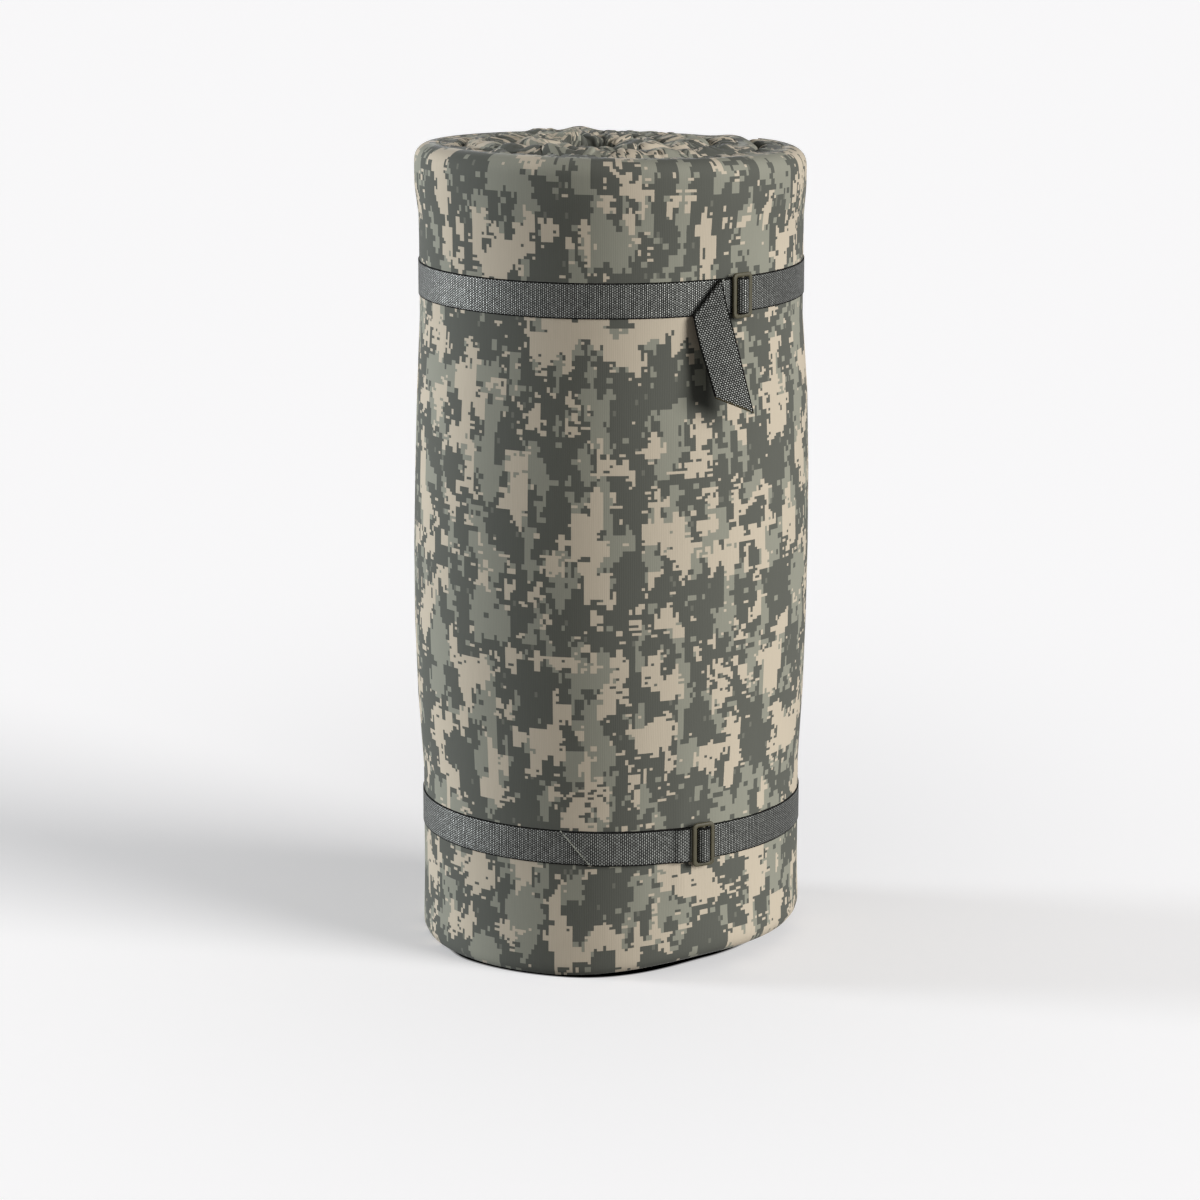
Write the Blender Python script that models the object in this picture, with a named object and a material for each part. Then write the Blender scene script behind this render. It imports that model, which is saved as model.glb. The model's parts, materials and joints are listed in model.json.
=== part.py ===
"""Foam sleeping mat, rolled up and held by two webbing straps with metal slide buckles.

Metres, +Z up. The roll stands on the floor at z = 0. The view from the front looks along +Y.
Azimuths are measured at the roll's pole from the front (-Y) towards +X.
"""
import math

import bmesh
import bpy
from mathutils import Matrix, Vector
from mathutils.geometry import convex_hull_2d

# The mat, as a slab: foam slab inside a two-panel fabric cover
MAT_WIDTH = 0.577
FOAM_THICKNESS = 0.030
FABRIC_THICKNESS = 0.0009
FABRIC_CLEARANCE = 0.0003
RIM_RADIUS = 0.012
SEAM_GAP = 0.0003

# The roll: an even spiral, from its outer end inwards
ROLL_END_RADIUS = 0.1478
ROLL_TURNS = 3.40
TURN_CLEARANCE = 0.0006
OUTER_END_AZIMUTH = math.radians(120.4)
COLUMN_STEP = math.radians(12.0)
RIM_STEPS = 2

# The mat's long edges run in a little towards its outer end
EDGE_DRAW_START = 0.300
EDGE_DRAW_LENGTH = 0.120
TOP_EDGE_DRAW = 0.005
BOTTOM_EDGE_DRAW = 0.010

# Webbing
WEB_WIDTH = 0.025
WEB_THICKNESS = 0.0014
WEB_CLEARANCE = 0.0003
SEWN_END_LENGTH = 0.0135
ARC_STEPS = 4
LEAST_STEP = 0.0002

# Slide buckles
BAR_HEIGHT = 0.0025
SIDE_BAR_WIDTH = 0.0034
END_BAR_WIDTH = 0.0031
SLOT_CLEARANCE = 0.00095
BUCKLE_CORNER_RADIUS = 0.0020
BAR_SIDES = 8
FRAME_CORNER_STEPS = 4
WRAP_SLOPE = math.radians(39.0)
LEFT_BEND_RADIUS = 0.0026
RIGHT_BEND_RADIUS = 0.0020

# The straps: distance from the mat's edges, and the column gap that carries the buckle
TOP_STRAP_INSET = 0.0787
TOP_BUCKLE_COLUMN = 6
BOTTOM_STRAP_INSET = 0.0833
BOTTOM_BUCKLE_COLUMN = 7

# Free ends
TAIL_ROOT_GAP = 0.0006
TAIL_STEP_LENGTH = 0.004
BOTTOM_TAIL_SHORT_EDGE = 0.0700
BOTTOM_TAIL_CUT_SLANT = 0.0216
TOP_TAIL_STUB = 0.0062
FOLD_ANGLE = math.radians(48.5)
FOLD_RADIUS = 0.0010
FOLD_GAP = 0.0003
FOLD_OPENING = math.radians(14.0)
TOP_TAIL_SHORT_EDGE = 0.056
TOP_TAIL_CUT_SLANT = 0.0182
TAIL_STEPS = 4

# Derived sizes of the slab and the spiral
LAND_HALF = FOAM_THICKNESS / 2 + FABRIC_CLEARANCE + FABRIC_THICKNESS - RIM_RADIUS
COVER_HALF = LAND_HALF + RIM_RADIUS
LINING_RADIUS = RIM_RADIUS - FABRIC_THICKNESS
FOAM_RADIUS = LINING_RADIUS - FABRIC_CLEARANCE
TURN_PITCH = 2 * COVER_HALF + TURN_CLEARANCE
ROLL_ANGLE = 2 * math.pi * ROLL_TURNS
FULL_TURN = 2 * math.pi

# Derived sizes of the stacked webbing: heights of the middle of each layer over the cover
LAYER = WEB_THICKNESS + WEB_CLEARANCE
FIRST_LAYER = WEB_CLEARANCE + WEB_THICKNESS / 2
SECOND_LAYER = FIRST_LAYER + LAYER
THIRD_LAYER = SECOND_LAYER + LAYER
BAR_CENTRE = THIRD_LAYER + WEB_THICKNESS / 2 + WEB_CLEARANCE + BAR_HEIGHT / 2
CENTRE_BAR_RADIUS = BAR_HEIGHT / 2
WRAP_RADIUS = CENTRE_BAR_RADIUS + WEB_CLEARANCE + WEB_THICKNESS / 2
THREAD_RADIUS = WRAP_RADIUS + LAYER
WINDOW_HALF = THREAD_RADIUS + WEB_THICKNESS / 2 + SLOT_CLEARANCE
SIDE_BAR_OUTER = WINDOW_HALF + SIDE_BAR_WIDTH
WINDOW_HALF_LENGTH = WEB_WIDTH / 2 + WEB_CLEARANCE
FOLD_RUN = WEB_WIDTH / math.tan(FOLD_ANGLE)
FOLD_DISTANCE = SIDE_BAR_OUTER + TOP_TAIL_STUB + FOLD_RUN
TOP_STRAP_Z = MAT_WIDTH - TOP_STRAP_INSET - WEB_WIDTH
BOTTOM_STRAP_Z = BOTTOM_STRAP_INSET


def clear_scene():
    for item in list(bpy.data.objects):
        bpy.data.objects.remove(item, do_unlink=True)


def material(name, colour, roughness, metallic=0.0):
    """A plain Principled material."""
    made = bpy.data.materials.new(name)
    made.use_nodes = True
    shader = made.node_tree.nodes["Principled BSDF"]
    shader.inputs["Base Color"].default_value = (*colour, 1.0)
    shader.inputs["Roughness"].default_value = roughness
    shader.inputs["Metallic"].default_value = metallic
    return made


def add_object(name, mesh_data, finish, origin=Vector((0, 0, 0))):
    """Close a bmesh into a named object whose origin lies at the given world point."""
    bmesh.ops.remove_doubles(mesh_data, verts=mesh_data.verts, dist=1e-6)
    bmesh.ops.recalc_face_normals(mesh_data, faces=mesh_data.faces)
    mesh = bpy.data.meshes.new(name)
    mesh_data.to_mesh(mesh)
    mesh_data.free()
    mesh.transform(Matrix.Translation(-origin))
    mesh.shade_smooth()
    mesh.set_sharp_from_angle(angle=math.radians(35.0))
    mesh.materials.append(finish)
    made = bpy.data.objects.new(name, mesh)
    made.location = origin
    bpy.context.collection.objects.link(made)
    return made


# The spiral


def centre_radius(turned):
    """Radius of the slab's middle surface, an angle inwards from the roll's outer end."""
    return ROLL_END_RADIUS - COVER_HALF - TURN_PITCH * turned / FULL_TURN


def outline_radius(azimuth):
    """Radius of the cover's outer face on the outermost turn."""
    turned = (OUTER_END_AZIMUTH - azimuth) % FULL_TURN
    return centre_radius(turned) + COVER_HALF


def pole():
    """The spiral's centre, placed so that the roll's box is centred on the origin."""
    strap = LAYER
    right = outline_radius(math.radians(90.0)) + strap
    left = outline_radius(math.radians(-90.0)) + strap
    front = outline_radius(0.0) + SECOND_LAYER + WEB_THICKNESS / 2
    back = outline_radius(math.radians(180.0)) + strap
    return Vector(((left - right) / 2, (front - back) / 2, 0.0))


POLE = pole()


def roll_point(turned, offset, height):
    """World point on the rolled slab: angle inwards, offset from mid-slab, height."""
    azimuth = OUTER_END_AZIMUTH - turned
    radius = centre_radius(turned) + offset
    across = Vector((radius * math.sin(azimuth), -radius * math.cos(azimuth), height))
    return POLE + across


def smooth_step(value):
    held = min(max(value, 0.0), 1.0)
    return held * held * (3.0 - 2.0 * held)


def edge_draw(turned):
    """How far the mat's edges have run in, from 0 on the body of the mat to 1 near its end."""
    length = turned * centre_radius(turned / 2)
    return smooth_step((EDGE_DRAW_START - length) / EDGE_DRAW_LENGTH)


def rim_profile(radius, seam):
    """Distance outwards and share of the rounding round a rim, from its edge to the face."""
    points = []
    for step in range(RIM_STEPS + 1):
        angle = math.pi / 2 * step / RIM_STEPS
        points.append((radius * math.cos(angle), math.sin(angle)))
    if seam:
        points.insert(0, (radius, None))
    return points


def half_thickness(radius, column_share, row_share):
    """Distance from mid-slab; a share of None marks the edge along the seam."""
    if column_share is None or row_share is None:
        return SEAM_GAP / 2
    return LAND_HALF + radius * column_share * row_share


def slab_rows(radius, seam):
    """Height and rounding of each row of one face, bottom rim to top rim."""
    core = MAT_WIDTH / 2 - RIM_RADIUS
    rim = rim_profile(radius, seam)
    bottom = [(-core - out, share) for out, share in rim]
    top = [(core + out, share) for out, share in reversed(rim)]
    return bottom + top


def slab_columns(radius, seam):
    """Turned angle and rounding of each column, outer end to inner end."""
    rim = rim_profile(radius, seam)
    outer_radius = centre_radius(0.0)
    inner_radius = centre_radius(ROLL_ANGLE)
    outer = [((RIM_RADIUS - out) / outer_radius, share) for out, share in rim]
    inner = [(ROLL_ANGLE - (RIM_RADIUS - out) / inner_radius, share) for out, share in rim]
    inner.reverse()
    last = math.floor(inner[0][0] / COLUMN_STEP)
    middle = [(COLUMN_STEP * count, 1.0) for count in range(1, last + 1)]
    return outer + middle + inner


def slab_face(mesh_data, side, radius, seam):
    """A grid of vertices over one face of the rolled slab, as columns of rows."""
    rows = slab_rows(radius, seam)
    grid = []
    for turned, column_share in slab_columns(radius, seam):
        drawn = edge_draw(turned)
        line = []
        for offset, row_share in rows:
            shift = -TOP_EDGE_DRAW * drawn if offset > 0 else BOTTOM_EDGE_DRAW * drawn
            height = MAT_WIDTH / 2 + offset + shift
            half = half_thickness(radius, column_share, row_share)
            line.append(mesh_data.verts.new(roll_point(turned, side * half, height)))
        grid.append(line)
    return grid


def grid_faces(mesh_data, grid):
    """Fill a grid, with each cell split by the diagonal towards the grid's nearest corner."""
    for column, (line, following) in enumerate(zip(grid, grid[1:])):
        outer_half = column < len(grid) / 2
        for row in range(len(line) - 1):
            lower_half = row < len(line) / 2 - 1
            cell = [line[row], following[row], following[row + 1], line[row + 1]]
            if outer_half != lower_half:
                cell = cell[1:] + cell[:1]
            mesh_data.faces.new((cell[0], cell[1], cell[2]))
            mesh_data.faces.new((cell[0], cell[2], cell[3]))


def border(grid):
    """The vertices round the edge of a grid, in order."""
    first = grid[0]
    last = grid[-1]
    bottom = [line[0] for line in grid]
    top = [line[-1] for line in grid]
    return bottom + last[1:] + list(reversed(top))[1:] + list(reversed(first))[1:-1]


def join_borders(mesh_data, one, other):
    ring = border(one)
    facing = border(other)
    for index, vertex in enumerate(ring):
        following = (index + 1) % len(ring)
        mesh_data.faces.new((vertex, ring[following], facing[following], facing[index]))


def build_foam(finish):
    """The foam slab, rolled up."""
    mesh_data = bmesh.new()
    outer = slab_face(mesh_data, 1, FOAM_RADIUS, False)
    inner = slab_face(mesh_data, -1, FOAM_RADIUS, False)
    grid_faces(mesh_data, outer)
    grid_faces(mesh_data, inner)
    join_borders(mesh_data, outer, inner)
    return add_object("foam_core", mesh_data, finish)


def build_cover_panel(name, side, finish):
    """One of the cover's two panels: a face of the mat with half of each rim and end."""
    mesh_data = bmesh.new()
    outside = slab_face(mesh_data, side, RIM_RADIUS, True)
    inside = slab_face(mesh_data, side, LINING_RADIUS, True)
    grid_faces(mesh_data, outside)
    grid_faces(mesh_data, inside)
    join_borders(mesh_data, outside, inside)
    return add_object(name, mesh_data, finish)


# The straps


def run_length(path):
    return sum((after - before).length for before, after in zip(path, path[1:]))


class RollOutline:
    """The convex outline that a taut strap takes round the roll, seen from above.

    Facets are counted from the one that carries the buckle, in the direction in which the
    strap leaves the buckle: front, left, back, right. Distances along a facet are measured
    from the buckle's facet's middle, or from a facet's first corner.
    """

    def __init__(self, buckle_column):
        self.buckle_azimuth = OUTER_END_AZIMUTH - COLUMN_STEP * (buckle_column + 0.5)
        points = []
        for turned, share in slab_columns(RIM_RADIUS, False):
            if turned <= FULL_TURN + COLUMN_STEP:
                half = half_thickness(RIM_RADIUS, share, 1.0)
                points.append(roll_point(turned, half, 0.0).to_2d())
        corners = [points[index] for index in convex_hull_2d(points)]
        corners.sort(key=self.way_round)
        self.corners = corners

    def way_round(self, corner):
        """Angle from the buckle to a corner, going round as the strap does."""
        azimuth = math.atan2(corner.x - POLE.x, POLE.y - corner.y)
        return (self.buckle_azimuth - azimuth) % FULL_TURN

    def facet(self, index):
        """First corner, direction along and direction outwards of a facet."""
        count = len(self.corners)
        start = self.corners[(index - 1) % count]
        along = (self.corners[index % count] - start).normalized()
        outwards = Vector((-along.y, along.x))
        if outwards.dot(start - POLE.to_2d()) < 0:
            outwards = -outwards
        return start, along, outwards

    def corner(self, index, lift):
        """The corner between two facets, lifted off the cover."""
        before = self.facet(index)[2]
        after = self.facet(index + 1)[2]
        start = self.corners[index % len(self.corners)]
        return start + (before + after) * (lift / (1.0 + before.dot(after)))

    def on_facet(self, index, distance, lift):
        start, along, outwards = self.facet(index)
        return start + along * distance + outwards * lift

    def at_buckle(self, distance, lift):
        """A point in the buckle's facet; distance counts to the right of its middle."""
        start, along, outwards = self.facet(0)
        middle = (start + self.corners[0]) / 2
        return middle - along * distance + outwards * lift

    def half_facet(self):
        return (self.corners[0] - self.corners[-1]).length / 2

    def corner_distances(self):
        """Distances of the corners from the buckle's middle, measured along the outline."""
        distances = [self.half_facet()]
        for corner, following in zip(self.corners, self.corners[1:]):
            distances.append(distances[-1] + (following - corner).length)
        return distances

    def beside(self, distance, lift):
        """A point at a distance from the buckle's middle, the way the strap leaves it."""
        passed = [reach for reach in self.corner_distances() if reach < distance]
        if not passed:
            return self.at_buckle(-distance, lift)
        return self.on_facet(len(passed), distance - passed[-1], lift)

    def walk(self, stops):
        """Points along the outline from (distance, lift) stops, with the corners between."""
        points = [self.beside(*stops[0])]
        for (start, lift), (end, next_lift) in zip(stops, stops[1:]):
            for index, distance in enumerate(self.corner_distances()):
                if start < distance < end:
                    share = (distance - start) / (end - start)
                    points.append(self.corner(index, lift + (next_lift - lift) * share))
            points.append(self.beside(end, next_lift))
        return points


def arc_points(centre, radius, start, end, steps):
    """Points on an arc in the buckle's section, from one angle to another."""
    points = []
    for step in range(steps + 1):
        angle = start + (end - start) * step / steps
        points.append((centre[0] + radius * math.cos(angle), centre[1] + radius * math.sin(angle)))
    return points


def fixed_end_section():
    """The sewn end's way up to, round and under the centre bar, as distance and height."""
    left_centre = (-WRAP_RADIUS - LEFT_BEND_RADIUS, SECOND_LAYER + LEFT_BEND_RADIUS)
    points = arc_points(left_centre, LEFT_BEND_RADIUS, -math.pi / 2, 0.0, ARC_STEPS)
    leave = -(math.pi / 2 - WRAP_SLOPE)
    points += arc_points((0.0, BAR_CENTRE), WRAP_RADIUS, math.pi, leave, 3 * ARC_STEPS)
    last = points[-1]
    run = (last[1] - FIRST_LAYER) / math.tan(WRAP_SLOPE)
    points.append((last[0] - run, FIRST_LAYER))
    return points


def threaded_section():
    """The free end's way up the right slot, over the centre bar and down the left slot."""
    right_centre = (THREAD_RADIUS + RIGHT_BEND_RADIUS, FIRST_LAYER + RIGHT_BEND_RADIUS)
    points = arc_points(right_centre, RIGHT_BEND_RADIUS, 1.5 * math.pi, math.pi, ARC_STEPS)
    points += arc_points((0.0, BAR_CENTRE), THREAD_RADIUS, 0.0, math.pi, 3 * ARC_STEPS)
    left_radius = LEFT_BEND_RADIUS - LAYER
    left_centre = (-THREAD_RADIUS - left_radius, THIRD_LAYER + left_radius)
    points += arc_points(left_centre, left_radius, 0.0, -math.pi / 2, ARC_STEPS)
    return points


def join_sections(mesh_data, sections):
    """Skin a row of four-cornered sections and close both ends."""
    for section, following in zip(sections, sections[1:]):
        for side in range(4):
            other = (side + 1) % 4
            ring = (section[side], section[other], following[other], following[side])
            mesh_data.faces.new(ring)
    mesh_data.faces.new(sections[0])
    mesh_data.faces.new(list(reversed(sections[-1])))


def split_at(path, length):
    """A path with one more point at a length along it, unless a point is there already."""
    run = 0.0
    for index, (point, following) in enumerate(zip(path, path[1:])):
        step = (following - point).length
        if run + LEAST_STEP < length < run + step - LEAST_STEP:
            return path[:index + 1] + [point.lerp(following, (length - run) / step)] + path[index + 1:]
        run += step
    return path


def webbing_band(name, path, bottom, finish, origin, slant=0.0):
    """Webbing standing on edge along a path seen from above, its end cut at a slant.

    A slant above 0 draws back the upper edge, and one below 0 the lower edge.
    """
    half = WEB_THICKNESS / 2
    path = split_at(path, run_length(path) - abs(slant))
    ways = [(after - before).normalized() for before, after in zip(path, path[1:])]
    mesh_data = bmesh.new()
    sections = []
    for index, point in enumerate(path):
        before = ways[max(index - 1, 0)]
        after = ways[min(index, len(ways) - 1)]
        normal_before = Vector((-before.y, before.x))
        normal_after = Vector((-after.y, after.x))
        mitre = (normal_before + normal_after) * (half / (1.0 + normal_before.dot(normal_after)))
        gone = 0.0
        if slant:
            gone = max(0.0, 1.0 - run_length(path[index:]) / abs(slant)) * WEB_WIDTH
        low = bottom + (gone if slant < 0 else 0.0)
        high = bottom + WEB_WIDTH - (gone if slant > 0 else 0.0)
        section = []
        for side, height in ((-1, low), (1, low), (1, high), (-1, high)):
            corner = (point + mitre * side).to_3d()
            corner.z = height
            section.append(mesh_data.verts.new(corner))
        sections.append(section)
    join_sections(mesh_data, sections)
    return add_object(name, mesh_data, finish, origin)


def strap_path(outline, stub):
    """The whole strap seen from above: sewn end, round the roll, through the buckle."""
    sewn_end = [(0.0, SECOND_LAYER), (SEWN_END_LENGTH, SECOND_LAYER)]
    path = list(reversed(outline.walk(sewn_end)[1:]))
    path += [outline.at_buckle(*place) for place in fixed_end_section()]
    path += [outline.corner(index, FIRST_LAYER) for index in range(len(outline.corners))]
    path += [outline.at_buckle(*place) for place in threaded_section()]
    return path + stub


def build_strap(name, outline, bottom, stub, finish, slant=0.0):
    origin = outline.at_buckle(0.0, 0.0).to_3d() + Vector((0.0, 0.0, bottom))
    return webbing_band(name, strap_path(outline, stub), bottom, finish, origin, slant)


def top_stub(outline):
    """The top strap's run from the left bar to its diagonal fold."""
    end = FOLD_DISTANCE - FOLD_GAP / math.sin(FOLD_ANGLE)
    return outline.walk([(SIDE_BAR_OUTER, THIRD_LAYER), (end, THIRD_LAYER)])


def bottom_stub(outline):
    """The bottom strap's short run past the left bar, up to the root of its tail."""
    return [outline.beside(SIDE_BAR_OUTER, THIRD_LAYER)]


# Free ends of the webbing


def build_bottom_tail(outline, bottom, finish):
    """The bottom free end: flat on the sewn end, then a step down to the strap itself."""
    root = SIDE_BAR_OUTER + TAIL_ROOT_GAP
    step = SEWN_END_LENGTH + TAIL_STEP_LENGTH
    long_edge = BOTTOM_TAIL_SHORT_EDGE + BOTTOM_TAIL_CUT_SLANT
    path = outline.walk([
        (root, THIRD_LAYER),
        (step, THIRD_LAYER),
        (step + TAIL_STEP_LENGTH, SECOND_LAYER),
        (root + long_edge, SECOND_LAYER),
    ])
    hinge = outline.beside(root, THIRD_LAYER + WEB_THICKNESS / 2).to_3d()
    hinge.z = bottom + WEB_WIDTH / 2
    return webbing_band("bottom_tail", path, bottom, finish, hinge, -BOTTOM_TAIL_CUT_SLANT)


class Fold:
    """The top strap's diagonal fold line, with the ways across it and outwards.

    Angles about the fold start at the way across, which points away from the buckle, and
    grow outwards. The incoming webbing lies a bend radius below the line.
    """

    def __init__(self, outline, bottom):
        along = outline.facet(1)[1].to_3d()
        self.outwards = outline.facet(1)[2].to_3d()
        low = outline.on_facet(1, FOLD_DISTANCE - outline.half_facet(), THIRD_LAYER + FOLD_RADIUS)
        self.low = low.to_3d() + Vector((0.0, 0.0, bottom))
        self.high = self.low - along * FOLD_RUN + Vector((0.0, 0.0, WEB_WIDTH))
        self.axis = (self.high - self.low).normalized()
        self.across = (along - self.axis * along.dot(self.axis)).normalized()
        self.middle = (self.low + self.high) / 2

    def round_axis(self, point, radius, angle):
        way = self.across * math.cos(angle) + self.outwards * math.sin(angle)
        return point + way * radius


def build_crease(fold, finish):
    """The bend of the diagonal fold, nearly a half turn of webbing about the fold line."""
    mesh_data = bmesh.new()
    start = -math.pi / 2
    end = math.pi / 2 - FOLD_OPENING
    sections = []
    for step in range(2 * ARC_STEPS + 1):
        angle = start + (end - start) * step / (2 * ARC_STEPS)
        section = []
        for point, side in ((fold.low, -1), (fold.low, 1), (fold.high, 1), (fold.high, -1)):
            radius = FOLD_RADIUS + side * WEB_THICKNESS / 2
            section.append(mesh_data.verts.new(fold.round_axis(point, radius, angle)))
        sections.append(section)
    join_sections(mesh_data, sections)
    return add_object("top_tail_crease", mesh_data, finish, fold.middle)


def build_top_tail(fold, finish):
    """The top free end: it leaves the fold on top and hangs down, standing off the roll."""
    mesh_data = bmesh.new()
    normal = fold.round_axis(Vector(), 1.0, math.pi / 2 - FOLD_OPENING)
    away = fold.round_axis(Vector(), 1.0, math.pi - FOLD_OPENING)
    way = away * math.sin(FOLD_ANGLE) - fold.axis * math.cos(FOLD_ANGLE)
    root_low = fold.low + normal * FOLD_RADIUS + away * FOLD_GAP
    root_high = fold.high + normal * FOLD_RADIUS + away * FOLD_GAP
    level = (root_high - root_low).dot(way)
    long_edge = TOP_TAIL_SHORT_EDGE - level + TOP_TAIL_CUT_SLANT
    ends = [(root_low, TOP_TAIL_SHORT_EDGE), (root_high, long_edge)]
    sections = []
    for step in range(TAIL_STEPS + 1):
        section = []
        share = step / TAIL_STEPS
        for (root, length), side in zip((ends[0], ends[0], ends[1], ends[1]), (-1, 1, 1, -1)):
            point = root + way * length * share + normal * side * WEB_THICKNESS / 2
            section.append(mesh_data.verts.new(point))
        sections.append(section)
    join_sections(mesh_data, sections)
    return add_object("top_tail", mesh_data, finish, fold.middle)


# Slide buckles


def frame_stations():
    """Centre line of the buckle's frame, a rounded rectangle, with the way outwards."""
    half_width = WINDOW_HALF + SIDE_BAR_WIDTH / 2
    half_length = WINDOW_HALF_LENGTH + END_BAR_WIDTH / 2
    stations = []
    for corner in range(4):
        turn = math.pi / 2 * corner
        right = 1 if corner in (0, 3) else -1
        top = 1 if corner in (0, 1) else -1
        centre_x = right * (half_width - BUCKLE_CORNER_RADIUS)
        centre_z = top * (half_length - BUCKLE_CORNER_RADIUS)
        for step in range(FRAME_CORNER_STEPS + 1):
            angle = turn + math.pi / 2 * step / FRAME_CORNER_STEPS
            way = Vector((math.cos(angle), 0.0, math.sin(angle)))
            point = Vector((centre_x, 0.0, centre_z)) + way * BUCKLE_CORNER_RADIUS
            share = abs(math.cos(angle)) ** 2
            width = SIDE_BAR_WIDTH * share + END_BAR_WIDTH * (1.0 - share)
            stations.append((point, way, width))
    return stations


def build_buckle(name, outline, bottom, finish):
    """A slide: a rounded frame with a centre bar, in one piece."""
    mesh_data = bmesh.new()
    rings = []
    for point, way, width in frame_stations():
        ring = []
        for side in range(BAR_SIDES):
            angle = FULL_TURN * (side + 0.5) / BAR_SIDES
            out = way * (width / 2 * math.cos(angle) / math.cos(math.pi / BAR_SIDES))
            up = Vector((0.0, BAR_HEIGHT / 2 * math.sin(angle) / math.cos(math.pi / BAR_SIDES), 0.0))
            ring.append(mesh_data.verts.new(point + out + up))
        rings.append(ring)
    for ring, following in zip(rings, rings[1:] + rings[:1]):
        for side in range(BAR_SIDES):
            other = (side + 1) % BAR_SIDES
            mesh_data.faces.new((ring[side], ring[other], following[other], following[side]))
    centre = outline.at_buckle(0.0, BAR_CENTRE).to_3d()
    centre.z = bottom + WEB_WIDTH / 2
    frame = add_object(name, mesh_data, finish)
    frame.location = centre
    frame.rotation_euler.z = outline.buckle_azimuth
    join_centre_bar(frame)
    return frame


def join_centre_bar(frame):
    """Join the round centre bar to the frame's two ends."""
    mesh_data = bmesh.new()
    bmesh.ops.create_cone(
        mesh_data,
        cap_ends=True,
        segments=BAR_SIDES,
        radius1=CENTRE_BAR_RADIUS,
        radius2=CENTRE_BAR_RADIUS,
        depth=2 * WINDOW_HALF_LENGTH + END_BAR_WIDTH,
    )
    mesh = bpy.data.meshes.new(frame.name + "_bar")
    mesh_data.to_mesh(mesh)
    mesh_data.free()
    bar = bpy.data.objects.new(frame.name + "_bar", mesh)
    bar.parent = frame
    bar.hide_render = True
    bar.display_type = "WIRE"
    bpy.context.collection.objects.link(bar)
    union = frame.modifiers.new("centre bar", "BOOLEAN")
    union.operation = "UNION"
    union.solver = "EXACT"
    union.object = bar


def main():
    clear_scene()
    foam = material("foam", (0.16, 0.17, 0.15), 0.95)
    outer_fabric = material("camouflage cotton", (0.20, 0.20, 0.17), 0.85)
    inner_fabric = material("camouflage cotton, inner face", (0.19, 0.19, 0.165), 0.88)
    webbing = material("grey webbing", (0.13, 0.13, 0.125), 0.80)
    webbing_fold = material("grey webbing, folded", (0.12, 0.12, 0.115), 0.82)
    paint = material("olive paint on steel", (0.17, 0.15, 0.075), 0.38, 0.15)

    build_foam(foam)
    build_cover_panel("cover_outer_panel", 1, outer_fabric)
    build_cover_panel("cover_inner_panel", -1, inner_fabric)

    top = RollOutline(TOP_BUCKLE_COLUMN)
    build_strap("top_strap", top, TOP_STRAP_Z, top_stub(top), webbing, FOLD_RUN)
    build_buckle("top_slide_buckle", top, TOP_STRAP_Z, paint)
    fold = Fold(top, TOP_STRAP_Z)
    build_crease(fold, webbing_fold)
    build_top_tail(fold, webbing)

    low = RollOutline(BOTTOM_BUCKLE_COLUMN)
    build_strap("bottom_strap", low, BOTTOM_STRAP_Z, bottom_stub(low), webbing)
    build_buckle("bottom_slide_buckle", low, BOTTOM_STRAP_Z, paint)
    build_bottom_tail(low, BOTTOM_STRAP_Z, webbing)


main()
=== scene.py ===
import json
import math

import bmesh
import bpy
import numpy as np
from mathutils import Matrix, Vector
from mathutils.geometry import convex_hull_2d


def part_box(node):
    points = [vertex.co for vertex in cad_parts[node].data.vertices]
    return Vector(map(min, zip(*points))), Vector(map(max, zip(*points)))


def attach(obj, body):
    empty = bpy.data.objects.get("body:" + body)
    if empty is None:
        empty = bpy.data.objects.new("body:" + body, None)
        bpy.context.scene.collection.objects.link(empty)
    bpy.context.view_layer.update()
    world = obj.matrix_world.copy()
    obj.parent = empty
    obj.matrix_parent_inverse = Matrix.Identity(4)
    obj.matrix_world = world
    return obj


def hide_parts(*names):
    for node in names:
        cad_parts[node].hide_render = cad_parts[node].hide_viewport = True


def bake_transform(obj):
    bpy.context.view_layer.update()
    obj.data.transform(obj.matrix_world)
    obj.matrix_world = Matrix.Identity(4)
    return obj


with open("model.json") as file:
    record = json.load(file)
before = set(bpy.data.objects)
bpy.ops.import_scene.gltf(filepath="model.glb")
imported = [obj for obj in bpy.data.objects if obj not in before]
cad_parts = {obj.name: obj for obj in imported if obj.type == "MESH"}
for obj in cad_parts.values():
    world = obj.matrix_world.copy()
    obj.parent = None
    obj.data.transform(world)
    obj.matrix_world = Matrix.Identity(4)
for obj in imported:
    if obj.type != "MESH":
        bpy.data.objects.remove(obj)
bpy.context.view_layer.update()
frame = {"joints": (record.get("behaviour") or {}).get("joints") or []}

# The foam slab, rolled up.
# A slab of closed-cell foam, 30 mm thick, rolled tight from one end. It gives the roll its
# spiral, its rounded rims and the slight swell between the two straps.

FULL_TURN = 2 * math.pi
MAT_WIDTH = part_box("cover_outer_panel")[1].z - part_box("cover_outer_panel")[0].z
ROLL_END_RADIUS = 0.1478
TURN_PITCH = 0.0330
ROLL_TURNS = 3.40
ROLL_ANGLE = FULL_TURN * ROLL_TURNS
OUTER_END_AZIMUTH = math.radians(120.4)
POLE_BACK = 0.00085
POLE = Vector((-TURN_PITCH / 4, TURN_PITCH / 4 + POLE_BACK, 0.0))
COVER_HALF = 0.0162
COVER_THICKNESS = 0.0009
FOAM_INSET = 0.0016
RIM_DEPTH = 0.0135
WEB_WIDTH = 0.025


def joint_named(name):
    return next(joint for joint in frame["joints"] if joint["name"] == name)


def azimuth_of(place):
    """Azimuth about the roll's pole, from the front towards the right."""
    return math.atan2(place.x - POLE.x, POLE.y - place.y)


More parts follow.
